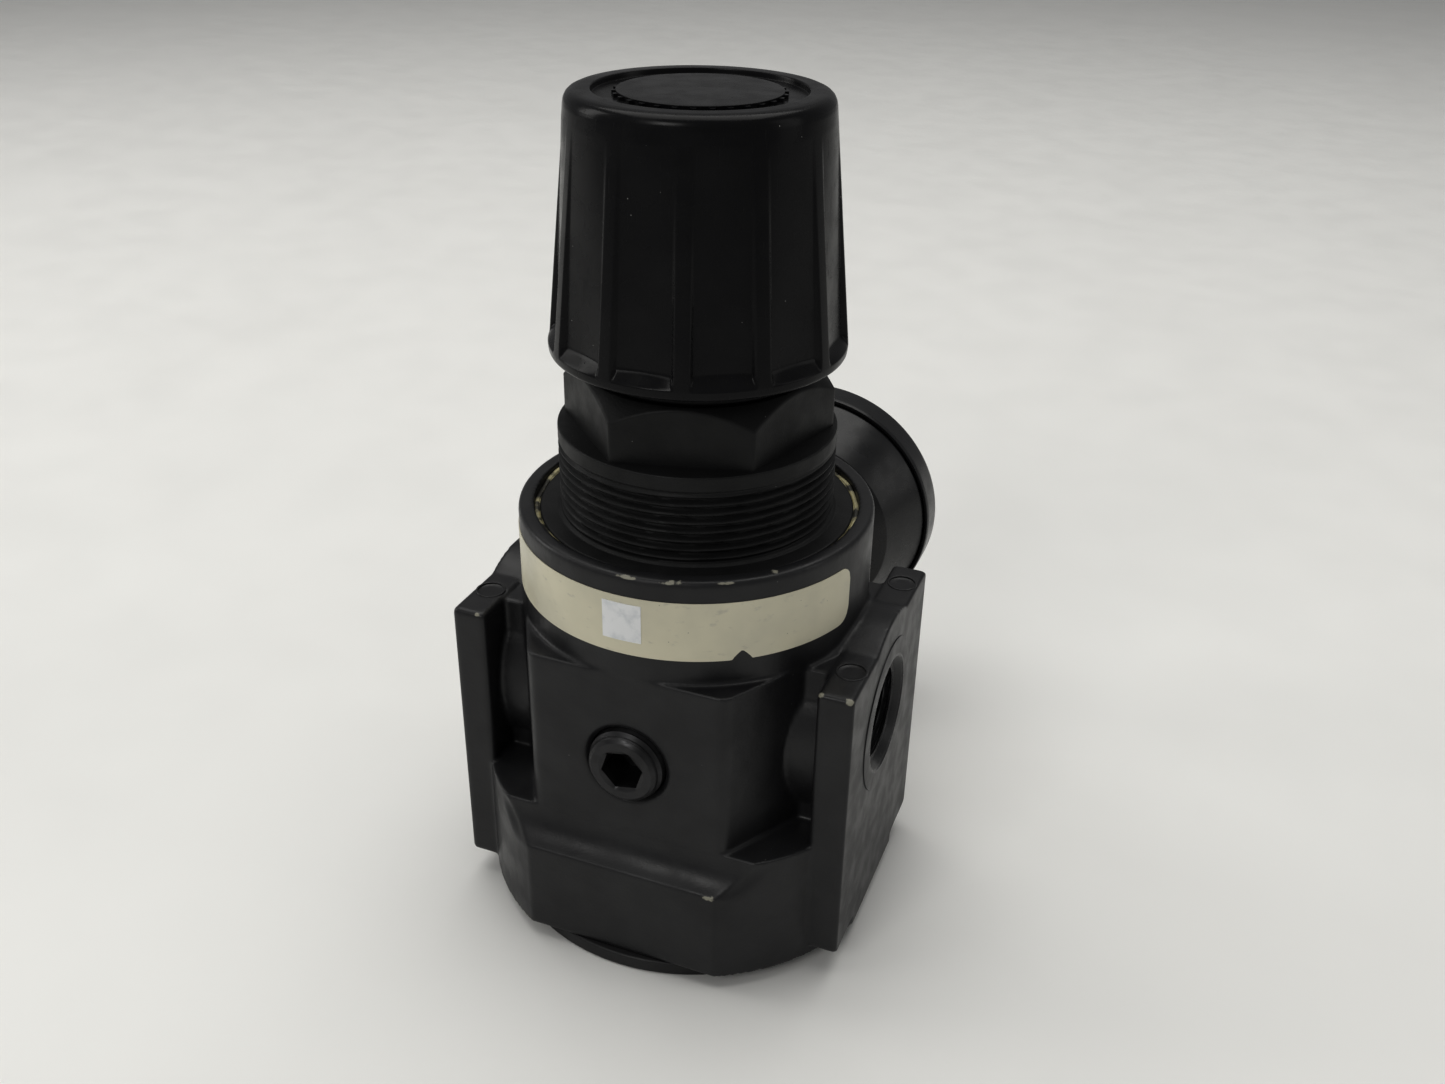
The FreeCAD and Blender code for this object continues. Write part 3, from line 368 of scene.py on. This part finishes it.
def label_film():
    """Cream label stock with smudges, scuffs and a little grime."""
    material, tree, shader = new_material("label_film", Specular_IOR_Level=0.45)
    colour = mixed(tree, ramp(tree, noise(tree, 12, 3), 0.3, 0.75), (0.66, 0.63, 0.50), (0.56, 0.54, 0.44))
    smudge = ramp(tree, noise(tree, 2.4, 5, (1, 1, 2)), 0.6, 0.78)
    colour = mixed(tree, maths(tree, "MULTIPLY", smudge, 0.45), colour, (0.36, 0.35, 0.32))
    grime = maths(tree, "MULTIPLY", spots(tree, 1.4, 0.1, 0.35), 0.7)
    colour = mixed(tree, grime, colour, (0.12, 0.12, 0.11))
    wire(tree, shader, Base_Color=colour, Roughness=ramp(tree, noise(tree, 3, 3), 0.3, 0.7, 0.32, 0.46),
         Normal=bump(tree, noise(tree, 3.0, 3), 0.02))
    return material


def sticker_paper():
    """White paper, faintly smudged."""
    material, tree, shader = new_material("sticker_paper")
    colour = mixed(tree, ramp(tree, noise(tree, 2.0, 4), 0.45, 0.75), (0.80, 0.81, 0.82), (0.66, 0.68, 0.70))
    wire(tree, shader, Base_Color=colour, Roughness=ramp(tree, noise(tree, 0.6, 3), 0.3, 0.7, 0.5, 0.65),
         Normal=bump(tree, noise(tree, 0.2, 3), 0.008))
    return material


def gasket_compound():
    """Old sealing compound: yellow-cream with dark grime in it."""
    material, tree, shader = new_material("gasket")
    colour = mixed(tree, ramp(tree, noise(tree, 3.0, 4), 0.42, 0.6), (0.05, 0.048, 0.04), (0.52, 0.48, 0.30))
    wire(tree, shader, Base_Color=colour, Roughness=ramp(tree, noise(tree, 0.8, 3), 0.3, 0.7, 0.4, 0.7),
         Normal=bump(tree, noise(tree, 0.5, 4), 0.05))
    return material


def dial_paint():
    """The dial's off-white face."""
    material, tree, shader = new_material("dial_paint")
    colour = mixed(tree, ramp(tree, noise(tree, 8, 3), 0.4, 0.8), (0.86, 0.86, 0.83), (0.80, 0.80, 0.76))
    wire(tree, shader, Base_Color=colour, Roughness=ramp(tree, noise(tree, 2, 3), 0.3, 0.7, 0.4, 0.5))
    return material


def lens_plastic():
    """Clear acrylic with fine scuffs, thin enough to show the dial as it is."""
    material, tree, shader = new_material("lens", Base_Color=(0.9, 0.92, 0.93), Alpha=0.14)
    scuffs = ramp(tree, noise(tree, 0.5, 3, (1, 1, 0.1)), 0.62, 0.72, 0.03, 0.14)
    wire(tree, shader, Roughness=scuffs)
    return material


def floor_paper():
    """The plain pale floor."""
    material, tree, shader = new_material("floor", Specular_IOR_Level=0.35)
    colour = mixed(tree, ramp(tree, noise(tree, 60, 4), 0.35, 0.7), (0.80, 0.80, 0.785), (0.785, 0.785, 0.77))
    wire(tree, shader, Base_Color=colour, Roughness=ramp(tree, noise(tree, 20, 3), 0.3, 0.7, 0.45, 0.6))
    return material


# where the paint is rubbed through or lightened, in millimetres: the place, its reach and its flatness. The
# patches on the foot and the flanges are real wear. The four at a height of about 73.6 on the collar rim are
# partly real wear and partly painted highlights along the rim.
WEAR_AND_HIGHLIGHT_PLACES = [
    ((15.9, -32.2, 19.4), 2.4, 2.0), ((29.2, -21.5, 55.6), 1.5, 1.5), ((33.8, -21.7, 55.7), 1.8, 1.0),
    ((7.5, -28.0, 73.6), 4.6, 7.0), ((0.5, -28.9, 73.6), 4.0, 7.0), ((15.0, -24.8, 73.6), 3.0, 7.0),
    ((-30.2, -21.6, 55.6), 1.2, 1.5), ((20.3, -19.0, 73.7), 1.6, 2.0),
]

PAINT = cast_paint()
KNOB_PLASTIC = moulded("knob_plastic", (0.007, 0.007, 0.008), (0.010, 0.010, 0.011), 0.24, 0.9, 0.006,
                       dust=0.75, scratch=0.18, shine=0.2)
BONNET_NYLON = moulded("bonnet_nylon", (0.009, 0.0093, 0.0097), (0.014, 0.0143, 0.0148), 0.5, 0.32, 0.035,
                       dust=0.3, scratch=0.0, shine=0.34)
CAP_NYLON = moulded("cap_nylon", (0.014, 0.014, 0.015), (0.020, 0.020, 0.021), 0.45, 0.6, 0.02, 0.3)
GAUGE_PAINT = moulded("gauge_paint", (0.013, 0.0135, 0.0145), (0.018, 0.0185, 0.02), 0.28, 1.2, 0.008, 0.4)
BRASS = metal("brass", (0.72, 0.54, 0.24), 0.3, (1, 1, 0.1), (0.42, 0.31, 0.16), 0.35)
BLACK_STEEL = metal("black_steel", (0.06, 0.06, 0.062), 0.38, (0.3, 1, 1), (0.03, 0.03, 0.03), 0.5, 0.85)
PORT_METAL = metal("port_metal", (0.06, 0.06, 0.062), 0.32, (0.2, 1, 1), (0.02, 0.02, 0.02), 0.5, 0.7)
SPRING_WIRE = metal("spring_steel", (0.50, 0.50, 0.49), 0.3, (1, 1, 0.1), (0.2, 0.17, 0.13), 0.3)
PLATED = metal("plated_steel", (0.68, 0.68, 0.66), 0.28, (1, 1, 0.15), (0.42, 0.40, 0.34), 0.3)
ALUMINIUM = metal("plate_aluminium", (0.78, 0.79, 0.80), 0.3, (1, 1, 0.2), (0.5, 0.5, 0.5), 0.25)
RUBBER = rubber("seal_rubber")
LABEL = label_film()
STICKER = sticker_paper()
GASKET = gasket_compound()
DIAL = dial_paint()
LENS = lens_plastic()
BLACK_INK = moulded("pointer_paint", (0.012, 0.012, 0.012), (0.018, 0.018, 0.018), 0.45, 0.5, 0.002, 0.0)

MATERIALS = {
    "cast_paint": PAINT, "cap_nylon": CAP_NYLON, "bonnet_nylon": BONNET_NYLON, "knob_plastic": KNOB_PLASTIC,
    "seal_rubber": RUBBER, "gasket": GASKET, "brass": BRASS, "plate_aluminium": ALUMINIUM,
    "spring_steel": SPRING_WIRE, "plated_steel": PLATED, "black_steel": BLACK_STEEL, "label_film": LABEL,
    "sticker_paper": STICKER, "gauge_paint": GAUGE_PAINT, "lens": LENS, "dial_paint": DIAL,
    "pointer_paint": BLACK_INK,
}


def finish_cad_nodes():
    """The CAD nodes that stay are given their slot's material."""
    for part in frame["record"]["subparts"]:
        for slot in frame["nodes"][part["node"]].material_slots:
            slot.material = MATERIALS[part["material_slot"]]


# ---- casting ----

def hollow_slopes(places):
    """Makes the flat slopes between the foot and the hexagon's front and back slightly concave."""
    # both ends of a slope's line, as distance from the middle plane and height
    foot, shoulder = np.array((32.6, 19.6)), np.array((29.05, 25.9))
    deepest, reach, full = 1.0, 2.5, 0.3
    length = np.linalg.norm(shoulder - foot)
    along = (shoulder - foot) / length
    outward = np.array((along[1], -along[0]))
    offset = np.stack((np.abs(places[:, 1]) / MM, places[:, 2] / MM), axis=1) - foot
    part = offset @ along / length
    nearness = smooth_step(np.abs(offset @ outward), reach, full)
    within = np.clip(part, 0, 1)
    sink = deepest * 4 * within * (1 - within) * nearness * MM
    places[:, 1] -= np.sign(places[:, 1]) * outward[0] * sink
    places[:, 2] -= outward[1] * sink


def casting():
    """The casting with its edges rounded as a mould leaves them."""
    voxel = 0.38
    rim_height = 0.2
    draft = bpy.data.objects.new("casting_draft", frame["nodes"]["body"].data.copy())
    SCENE.collection.objects.link(draft)
    remesh = draft.modifiers.new("remesh", "REMESH")
    remesh.mode = "VOXEL"
    remesh.voxel_size = voxel * MM
    smooth = draft.modifiers.new("smooth", "SMOOTH")
    smooth.factor, smooth.iterations = 0.5, 3
    mesh = bpy.data.meshes.new_from_object(draft.evaluated_get(bpy.context.evaluated_depsgraph_get()))
    bpy.data.objects.remove(draft)
    mesh.name = "casting"
    # the port faces are milled flat, a little below the raised rims of the ports
    flat = (PORT_FACE - rim_height) * MM
    places = np.empty(len(mesh.vertices) * 3)
    mesh.vertices.foreach_get("co", places)
    places = places.reshape(-1, 3)
    np.clip(places[:, 0], -flat, flat, out=places[:, 0])
    hollow_slopes(places)
    mesh.vertices.foreach_set("co", places.ravel())
    mesh.update()
    mesh.polygons.foreach_set("use_smooth", [True] * len(mesh.polygons))
    piece = bpy.data.objects.new("casting", mesh)
    SCENE.collection.objects.link(piece)
    return settle(piece, "housing", PAINT, ("body",))


def port_rim(name, axis):
    """The machined rim, mouth and tapered thread of one main port."""
    pitch, depth = 1.41, 0.85
    face, mouth, rim = PORT_FACE - 0.02, 10.0, 13.3
    floor, start = 16.5, PORT_FACE - (mouth - PORT_RADIUS) - 0.02
    crest, wall = PORT_RADIUS - depth, PORT_RADIUS + 0.12

    def threads(angles, radii, heights):
        inside = radii < crest + 0.01
        depths = thread_depth(angles, heights, pitch, depth)
        fade = smooth_step(heights, start, start - 0.8)
        return np.where(inside, crest + depths + (depth - depths) * (1 - fade), radii), heights

    rows = [(mouth + 0.4, face - 0.4), (mouth + 0.35, face, 0.05), (mouth, face, 0.12),
            (PORT_RADIUS, start, 0.05), (crest, start - 0.05), (crest, floor), (wall, floor),
            (wall, start - 1.6)]
    spun(name + "_thread", rows, "housing", PORT_METAL, (), 180, 0.12, threads,
         axis, (0, 0, PORT_HEIGHT))
    rows = [(rim, face - 0.5), (rim, face, 0.12), (mouth + 0.3, face, 0.05), (mouth + 0.3, face - 0.5)]
    spun(name + "_face", rows, "housing", PAINT, (), 180, 1.0, None,
         axis, (0, 0, PORT_HEIGHT))


def ejector_marks():
    """Small round rims that the mould's ejector pins left on the tops of the flanges."""
    inner, outer, low, high = 2.2, 2.55, 55.5, 55.98
    across_flange = 31.9
    rows = [(inner, low), (inner, high, 0.1), (outer, high, 0.15), (outer, low)]
    for side, across in (("inlet", -across_flange), ("outlet", across_flange)):
        for end, along in (("front", -14.0), ("rear", 15.7)):
            name = "ejector_mark_%s_%s" % (side, end)
            spun(name, rows, "housing", PAINT, (), 48, 1e9, None, "z", (across, along, 0))


# ---- bonnet ----

def bonnet():
    """Flange, panel thread, plain band, hexagon and neck, hollow for the main spring."""
    low, high = span("bonnet")
    step, band, thread_top, corner_top, hex_top = 72.9, 85.2, 87.6, 93.8, 97.0
    flats, corner_angle = 37.5, 15
    corner = flats / 2 / math.cos(math.pi / 6)
    flange = half_width("bonnet")
    neck, hole, bore, wide = 17.3, 5.1, 15.5, 19.5
    roof, bore_low, wide_top = 98.0, 77.0, 74.0
    pitch, depth, rounding = 1.5, 0.92, 0.5

    def shape(angles, radii, heights):
        climbing = thread_depth(angles, heights, pitch, depth)
        fade = smooth_step(heights, step + 0.1, step + 1.2) * smooth_step(heights, band + 0.2, band - 0.9)
        threaded = (radii > THREAD_RADIUS - 0.01) & (radii < THREAD_RADIUS + 0.01) & (heights < band + 0.3)
        radii = np.where(threaded, radii - climbing * fade, radii)
        sides = hexagon(angles, flats, corner_angle)
        # the corners of the hexagon are a little rounded
        gap = sides - radii
        blend = np.clip(0.5 + gap / rounding, 0, 1)
        trimmed = sides * (1 - blend) + radii * blend - 0.25 * blend * (1 - blend)
        faced = (heights > thread_top + 0.02) & (radii > neck + 0.02)
        return np.where(faced, np.minimum(trimmed, np.maximum(radii, neck)), radii), heights

    rows = [(flange, low[2]), (flange, step - 0.6, 0.3), (flange - 0.7, step - 0.6),
            (flange - 0.9, step, 0.4), (THREAD_RADIUS + 0.5, step, 0.3), (THREAD_RADIUS, step + 0.4),
            (THREAD_RADIUS, band), (THREAD_RADIUS, thread_top, 0.5), (corner, thread_top),
            (corner, thread_top + 0.05), (corner, corner_top), (flats / 2 - 0.5, hex_top, 0.3),
            (neck, hex_top, 0.4), (neck, high[2], 0.5), (hole, high[2]),
            (hole, roof), (bore, roof), (bore, bore_low), (wide, wide_top), (wide, low[2])]
    return spun("bonnet_shell", rows, "housing", BONNET_NYLON, ("bonnet",), 360, 0.16, shape,
                crease=50)


def sealing_ring():
    """Old sealing compound squeezed up in the joint round the bonnet."""
    low, high = span("bonnet_seal")
    outer, sag, wave_height = half_width("bonnet_seal"), 0.55, 0.6

    def ragged(angles, radii, heights):
        waves = sum(np.sin(angles * count + count * 1.7) for count in (3, 7, 11, 17)) / 4
        above = heights > low[2] + 0.4
        return radii, np.where(above, heights - sag + wave_height * waves, heights)

    top = high[2] - 0.15
    rows = [(outer - 1.0, low[2]), (outer, low[2]), (outer, top, 0.3), (outer - 0.7, top, 0.3)]
    return spun("sealing_ring", rows, "housing", GASKET, ("bonnet_seal",), 360, 0.4, ragged)


# ---- knob ----

def knob():
    """Tapered knob. Its ribs run to the bottom edge, and the flutes between them end in a sloping ledge."""
    low, high = span("knob")
    bottom, top = low[2], high[2]
    widest, top_radius, recess = half_width("knob"), 19.5, 15.7
    flutes, first_flute, half_flute = 12, math.radians(1.5), math.radians(12.4)
    lip, flute_low, flute_top, deepest = bottom + 1.6, bottom + 3.3, top - 4.0, 1.2
    bore, mouth, roof, mouth_top, recess_floor = 17.2, 18.3, top - 5, bottom + 8.4, top - 0.9

    def shape(angles, radii, heights):
        pitch = 2 * math.pi / flutes
        away = np.abs((angles - first_flute + pitch / 2) % pitch - pitch / 2) / half_flute
        wall = 1 - smooth_step(away, 0.88, 1.0)
        fading = (flute_top - heights) / (flute_top - flute_low)
        ledge = (heights - lip) / (flute_low - lip)
        depth = deepest * np.clip(np.minimum(fading, ledge), 0, 1)
        cut = wall * depth * (0.7 + 0.55 * np.clip(1 - away ** 2, 0, 1))
        return np.where(radii > top_radius - 1, radii - cut, radii), heights

    rows = [(0, roof), (bore, roof), (mouth, mouth_top), (mouth, bottom, 0.3), (widest - 0.1, bottom, 1.2),
            (widest, bottom + 1.4), (widest - 0.02, bottom + 1.7), (top_radius, top - 0.1, 3.4),
            (recess, top, 0.25), (recess - 0.15, recess_floor, 0.15), (0, recess_floor)]
    spun("knob_shell", rows, "knob", KNOB_PLASTIC, ("knob",), 720, 0.3, shape, crease=40)


def knob_hub():
    """The boss inside the knob, with the hexagonal socket that slides on the screw."""
    low, high = span("knob")
    bottom, top = low[2] + 8.4, high[2] - 4.9
    outer, inner, flats = 10.0, 7.0, 12.12

    def socket(angles, radii, heights):
        return np.where(radii < 8, hexagon(angles, flats, 0), radii), heights

    rows = [(outer, bottom, 0.4), (outer, top), (inner, top), (inner, bottom)]
    spun("knob_hub", rows, "knob", KNOB_PLASTIC, (), 120, 1e9, socket)


def knob_cap():
    """The disc in the knob's top, with the snap tabs round its edge."""
    low, high = span("knob_cap")
    radius = half_width("knob_cap") - 0.1
    snap_tabs, tab_reach, tab_top = 30, 0.55, high[2] - 0.22

    def tabs(angles, radii, heights):
        on_tab = (np.cos(angles * snap_tabs) > 0.55) & (radii > radius - 0.05) & (heights < tab_top + 0.01)
        return np.where(on_tab, radii + tab_reach, radii), heights

    rows = [(0, low[2] + 0.3), (radius, low[2] + 0.3), (radius, tab_top), (radius, tab_top + 0.03),
            (radius, high[2], 0.15), (0, high[2])]
    return spun("knob_cap_disc", rows, "knob", KNOB_PLASTIC, ("knob_cap",), 480, 1.5, tabs)


# ---- bottom cap and plug ----

def bottom_cap():
    """The cap that closes the casting, with a recessed face and a hexagon for a wrench."""
    high = span("bottom_cap")[1]
    radius, wrench = half_width("bottom_cap"), 17.0
    boss_radius, recess, recess_depth = 9.5, 14.0, 1.6
    thread, thread_top, spigot, well, well_floor = 19.9, 12.2, 11.9, 3.1, 9.0

    def boss(angles, radii, heights):
        return np.where((radii > 9) & (radii < 10), hexagon(angles, wrench, 0), radii), heights

    rows = [(0, 0), (boss_radius, 0), (boss_radius, recess_depth), (recess, recess_depth, 0.3),
            (recess, 0, 0.3), (radius, 0, 0.6), (radius, BODY_LOW - 0.02, 0.4), (thread, BODY_LOW),
            (thread, thread_top), (spigot, thread_top, 0.4), (spigot, high[2], 0.5), (well, high[2]),
            (well, well_floor), (0, well_floor)]
    return spun("bottom_cap_turned", rows, "housing", CAP_NYLON, ("bottom_cap",), 200, 2.0, boss)


def gauge_port_plug():
    """Hex-socket pipe plug: a chamfered face, one thread turn showing and the socket."""
    face = -span("gauge_port_plug")[0][1]
    wall = face - 1.2
    socket_flats, marker = 6.35, 3.0

    def socket(angles, radii, heights):
        return np.where(np.abs(radii - marker) < 0.01, hexagon(angles, socket_flats, 12), radii), heights

    end = wall - 11
    rows = [(0, wall - 5.4), (marker, wall - 5), (marker, face - 0.35), (3.95, face, 0.1),
            (5.25, face, 0.25), (5.85, face - 0.5, 0.15), (6.05, face - 0.95, 0.1),
            (5.75, face - 1.25, 0.1), (6.45, face - 1.9, 0.15), (6.0, face - 2.4, 0.1),
            (6.5, face - 3.1, 0.1), (6.5, end + 1), (5.8, end), (0, end)]
    return spun("gauge_port_plug_turned", rows, "housing", BLACK_STEEL,
                ("gauge_port_plug",), 180, 1.5, socket, "-y", (0, 0, PLUG_HEIGHT))


# ---- label ----

def wrapped(name, radius, thick, first, last, low, high, material, node_name, columns=220, rows=10):
    """A thin sheet wrapped on the collar. Its lower and upper edges are functions of the way along."""
    points, faces = [], []
    for layer in (radius, radius + thick):
        for column in range(columns + 1):
            part = column / columns
            angle = math.radians(first + (last - first) * part)
            along = math.radians(last - first) * radius * part
            for row in range(rows + 1):
                height = low(along) + (high(along) - low(along)) * row / rows
                points.append((layer * math.cos(angle), layer * math.sin(angle), height))
    side = (columns + 1) * (rows + 1)

    def corner(layer, column, row):
        return layer * side + column * (rows + 1) + row

    for column in range(columns):
        for row in range(rows):
            for layer in (0, 1):
                faces.append([corner(layer, column, row), corner(layer, column + 1, row),
                              corner(layer, column + 1, row + 1), corner(layer, column, row + 1)])
        for row in (0, rows):
            faces.append([corner(0, column, row), corner(0, column + 1, row),
                          corner(1, column + 1, row), corner(1, column, row)])
    for row in range(rows):
        for column in (0, columns):
            faces.append([corner(0, column, row), corner(0, column, row + 1),
                          corner(1, column, row + 1), corner(1, column, row)])
    return make_piece(name, points, faces, "housing", material, (node_name,))


def label():
    """The blank label with a nick in its lower edge, and the blank sticker on it."""
    low, high = span("label")
    radius, thick = 29.16, 0.12
    first, last = -167.5, -12.5
    length = math.radians(last - first) * radius
    corner, nick_at, nick_half, nick_depth = 2.6, length - 21.0, 1.6, 1.7

    def rounding(along):
        inset = corner - min(along, length - along, corner)
        return corner - math.sqrt(max(0.0, corner ** 2 - inset ** 2))

    def lower(along):
        nick = max(0.0, 1 - abs(along - nick_at) / nick_half) ** 0.8 * nick_depth
        return low[2] + rounding(along) + nick

    def upper(along):
        return high[2] - rounding(along)

    wrapped("label_sheet", radius, thick, first, last, lower, upper, LABEL, "label")
    sticker_low, sticker_high = span("label_sticker")
    sticker_first, sticker_last, sticker_thick = -96.5, -84.0, 0.1
    wrapped("label_sticker_sheet", radius + thick, sticker_thick, sticker_first, sticker_last,
            lambda along: sticker_low[2], lambda along: sticker_high[2], STICKER,
            "label_sticker", 24, 6)


# ---- springs ----

def compression_spring(cad_node, body):
    """A spring that stands on its lower end: the CAD node's coil, copied and riding on the given body."""
    piece = bpy.data.objects.new(cad_node + "_coil", frame["nodes"][cad_node].data.copy())
    SCENE.collection.objects.link(piece)
    settle(piece, body, SPRING_WIRE, (cad_node,))
    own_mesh(piece)


# ---- gauge ----

DIAL_TOP, DIAL_STEP, DIAL_MINOR = 160, 20, 4
DIAL_SWEEP = math.radians(270)
INK_THICK, INK_GAP = 0.03, 0.005


def gauge_case():
    """The gauge's pressed case: a flat back, a cone and a drum with a lip under the bezel."""
    back, front = span("gauge_case")[0][1], span("gauge_case")[1][1]
    drum, lip, shoulder = 24.3, half_width("gauge_case") - 0.02, span("gauge_bezel")[0][1]
    hole, sheet = 7.0, 0.8
    rows = [(hole, back), (16.4, back, 2.0), (19.4, back + 2.0, 0.8), (drum, shoulder - 0.2, 0.7),
            (drum, front - 1.5), (lip, front - 1.5), (lip, front), (drum - sheet, front),
            (drum - sheet, shoulder + 0.3), (18.9, back + 2.9), (16.2, back + sheet), (hole, back + sheet)]
    spun("gauge_case_pressed", rows, "housing", GAUGE_PAINT, ("gauge_case",), 220, 1.2, None,
         "y", (0, 0, GAUGE_HEIGHT), steps=8)


def gauge_bezel():
    """The rolled ring that holds the lens."""
    low, high = span("gauge_bezel")
    back, front = low[1], high[1]
    radius, opening = half_width("gauge_bezel"), 22.0
    rows = [(radius - 0.7, back), (radius - 0.15, back, 0.2), (radius, back + 0.8, 0.3),
            (radius, front - 1.2, 0.9), (radius - 1.3, front, 0.5), (opening + 0.6, front, 0.3),
            (opening, front - 0.55, 0.1), (radius - 0.7, front - 0.6)]
    spun("gauge_bezel_rolled", rows, "housing", GAUGE_PAINT, ("gauge_bezel",), 240, 1.0, None,
         "y", (0, 0, GAUGE_HEIGHT))


def on_dial(reach, angle, shift=0.0, out=0.0):
    """A point on the dial; angle 0 is the zero mark and it grows clockwise for the reader."""
    face = span("gauge_dial")[1][1]
    turn = math.radians(45) - angle
    across = reach * math.cos(turn) - shift * math.sin(turn)
    down = reach * math.sin(turn) + shift * math.cos(turn)
    return across, face + out, GAUGE_HEIGHT - down


def dial_ticks():
    """Ticks round the dial, from the zero mark at the lower left, clockwise."""
    outer = 20.6
    points, faces = [], []
    count = DIAL_TOP // DIAL_MINOR
    for index in range(count + 1):
        angle = DIAL_SWEEP * index / count
        major = index * DIAL_MINOR % DIAL_STEP == 0
        inner, half = (17.6, 0.28) if major else (19.2, 0.11)
        start = len(points)
        for out in (INK_GAP, INK_THICK):
            points += [on_dial(inner, angle, -half, out), on_dial(outer, angle, -half, out),
                       on_dial(outer, angle, half, out), on_dial(inner, angle, half, out)]
        faces += [[start + corner for corner in face_corners] for face_corners in
                  ((0, 1, 2, 3), (4, 5, 6, 7), (0, 1, 5, 4), (1, 2, 6, 5), (2, 3, 7, 6), (3, 0, 4, 7))]
    make_piece("gauge_dial_ticks", points, faces, "housing", BLACK_INK)


def dial_numbers():
    """Plain numbers inside the ticks."""
    reach, size = 14.6, 3.6
    for value in range(0, DIAL_TOP + 1, DIAL_STEP):
        curve = bpy.data.curves.new("dial_number", "FONT")
        curve.body = str(value)
        curve.size, curve.extrude = size * MM, INK_THICK * MM / 2
        curve.align_x, curve.align_y = "CENTER", "CENTER"
        draft = bpy.data.objects.new("dial_number_draft", curve)
        SCENE.collection.objects.link(draft)
        mesh = bpy.data.meshes.new_from_object(draft.evaluated_get(bpy.context.evaluated_depsgraph_get()))
        bpy.data.objects.remove(draft)
        place = Vector(on_dial(reach, DIAL_SWEEP * value / DIAL_TOP, 0.0, INK_THICK / 2 + INK_GAP)) * MM
        facing = Matrix(((-1, 0, 0), (0, 0, 1), (0, 1, 0))).to_4x4()
        mesh.transform(Matrix.Translation(place) @ facing)
        number = bpy.data.objects.new("gauge_dial_number_%d" % value, mesh)
        SCENE.collection.objects.link(number)
        settle(number, "housing", BLACK_INK)


# ---- camera, floor and light ----

def camera():
    """Stands 234 mm from the regulator, a little to its right and above."""
    azimuth, elevation, roll = math.radians(21.118), math.radians(28.58), math.radians(1.035)
    distance, aim_right, aim_height = 234.27 * MM, 4.312 * MM, 65.01 * MM
    data = bpy.data.cameras.new("camera")
    data.sensor_width, data.lens = 36, 34.867
    data.clip_start, data.clip_end = 0.01, 20
    back = Vector((math.sin(azimuth) * math.cos(elevation), -math.cos(azimuth) * math.cos(elevation),
                   math.sin(elevation)))
    right = Vector((math.cos(azimuth), math.sin(azimuth), 0))
    up = back.cross(right)
    across = right * math.cos(roll) + up * math.sin(roll)
    above = up * math.cos(roll) - right * math.sin(roll)
    place = Vector((0, 0, aim_height)) + right * aim_right + back * distance
    turn = Matrix((across, above, back)).transposed().to_4x4()
    view = bpy.data.objects.new("camera", data)
    view.matrix_world = Matrix.Translation(place) @ turn
    SCENE.collection.objects.link(view)
    SCENE.camera = view


def area_light(name, at, size, power, aim=(0, 0, 0.07), colour=(1, 0.99, 0.965)):
    """A soft rectangular light, in metres and watts, that faces the regulator."""
    data = bpy.data.lights.new(name, "AREA")
    data.shape = "RECTANGLE"
    data.size, data.size_y = size
    data.energy, data.color = power, colour
    light = bpy.data.objects.new(name, data)
    light.location = at
    light.rotation_euler = (Vector(aim) - Vector(at)).to_track_quat("-Z", "Y").to_euler()
    SCENE.collection.objects.link(light)


def floor():
    """A plain square floor, which isn't part of the object."""
    wide = 3.0
    mesh = bpy.data.meshes.new("floor")
    corners = [(-wide, -wide, 0), (wide, -wide, 0), (wide, wide, 0), (-wide, wide, 0)]
    mesh.from_pydata(corners, [], [(0, 1, 2, 3)])
    sheet = bpy.data.objects.new("floor", mesh)
    sheet.data.materials.append(floor_paper())
    SCENE.collection.objects.link(sheet)


def studio():
    """An even pale surround, a wide ceiling light and three windows."""
    world = bpy.data.worlds.new("studio")
    world.use_nodes = True
    background = world.node_tree.nodes["Background"]
    background.inputs["Color"].default_value = (0.92, 0.92, 0.92, 1)
    background.inputs["Strength"].default_value = 0.31
    SCENE.world = world
    SCENE.view_settings.view_transform = "Standard"
    SCENE.view_settings.gamma = 0.77
    area_light("ceiling", (-0.1, 0.25, 1.1), (1.3, 1.0), 9.6)
    area_light("front_window", (-0.16, -0.90, 0.74), (0.40, 0.34), 2.7)
    area_light("window_left", (-0.9, -0.1, 0.45), (0.3, 0.6), 1.8)
    area_light("window_right", (0.8, 0.15, 0.35), (0.3, 0.5), 0.5)


# ---- the whole ----

finish_cad_nodes()
casting()
port_rim("port_rim_outlet", "x")
port_rim("port_rim_inlet", "-x")
ejector_marks()
bonnet()
sealing_ring()
knob()
knob_hub()
knob_cap()
bottom_cap()
gauge_port_plug()
label()
compression_spring("main_spring", "diaphragm_group")
compression_spring("valve_spring", "housing")
gauge_case()
gauge_bezel()
dial_ticks()
dial_numbers()
camera()
floor()
studio()
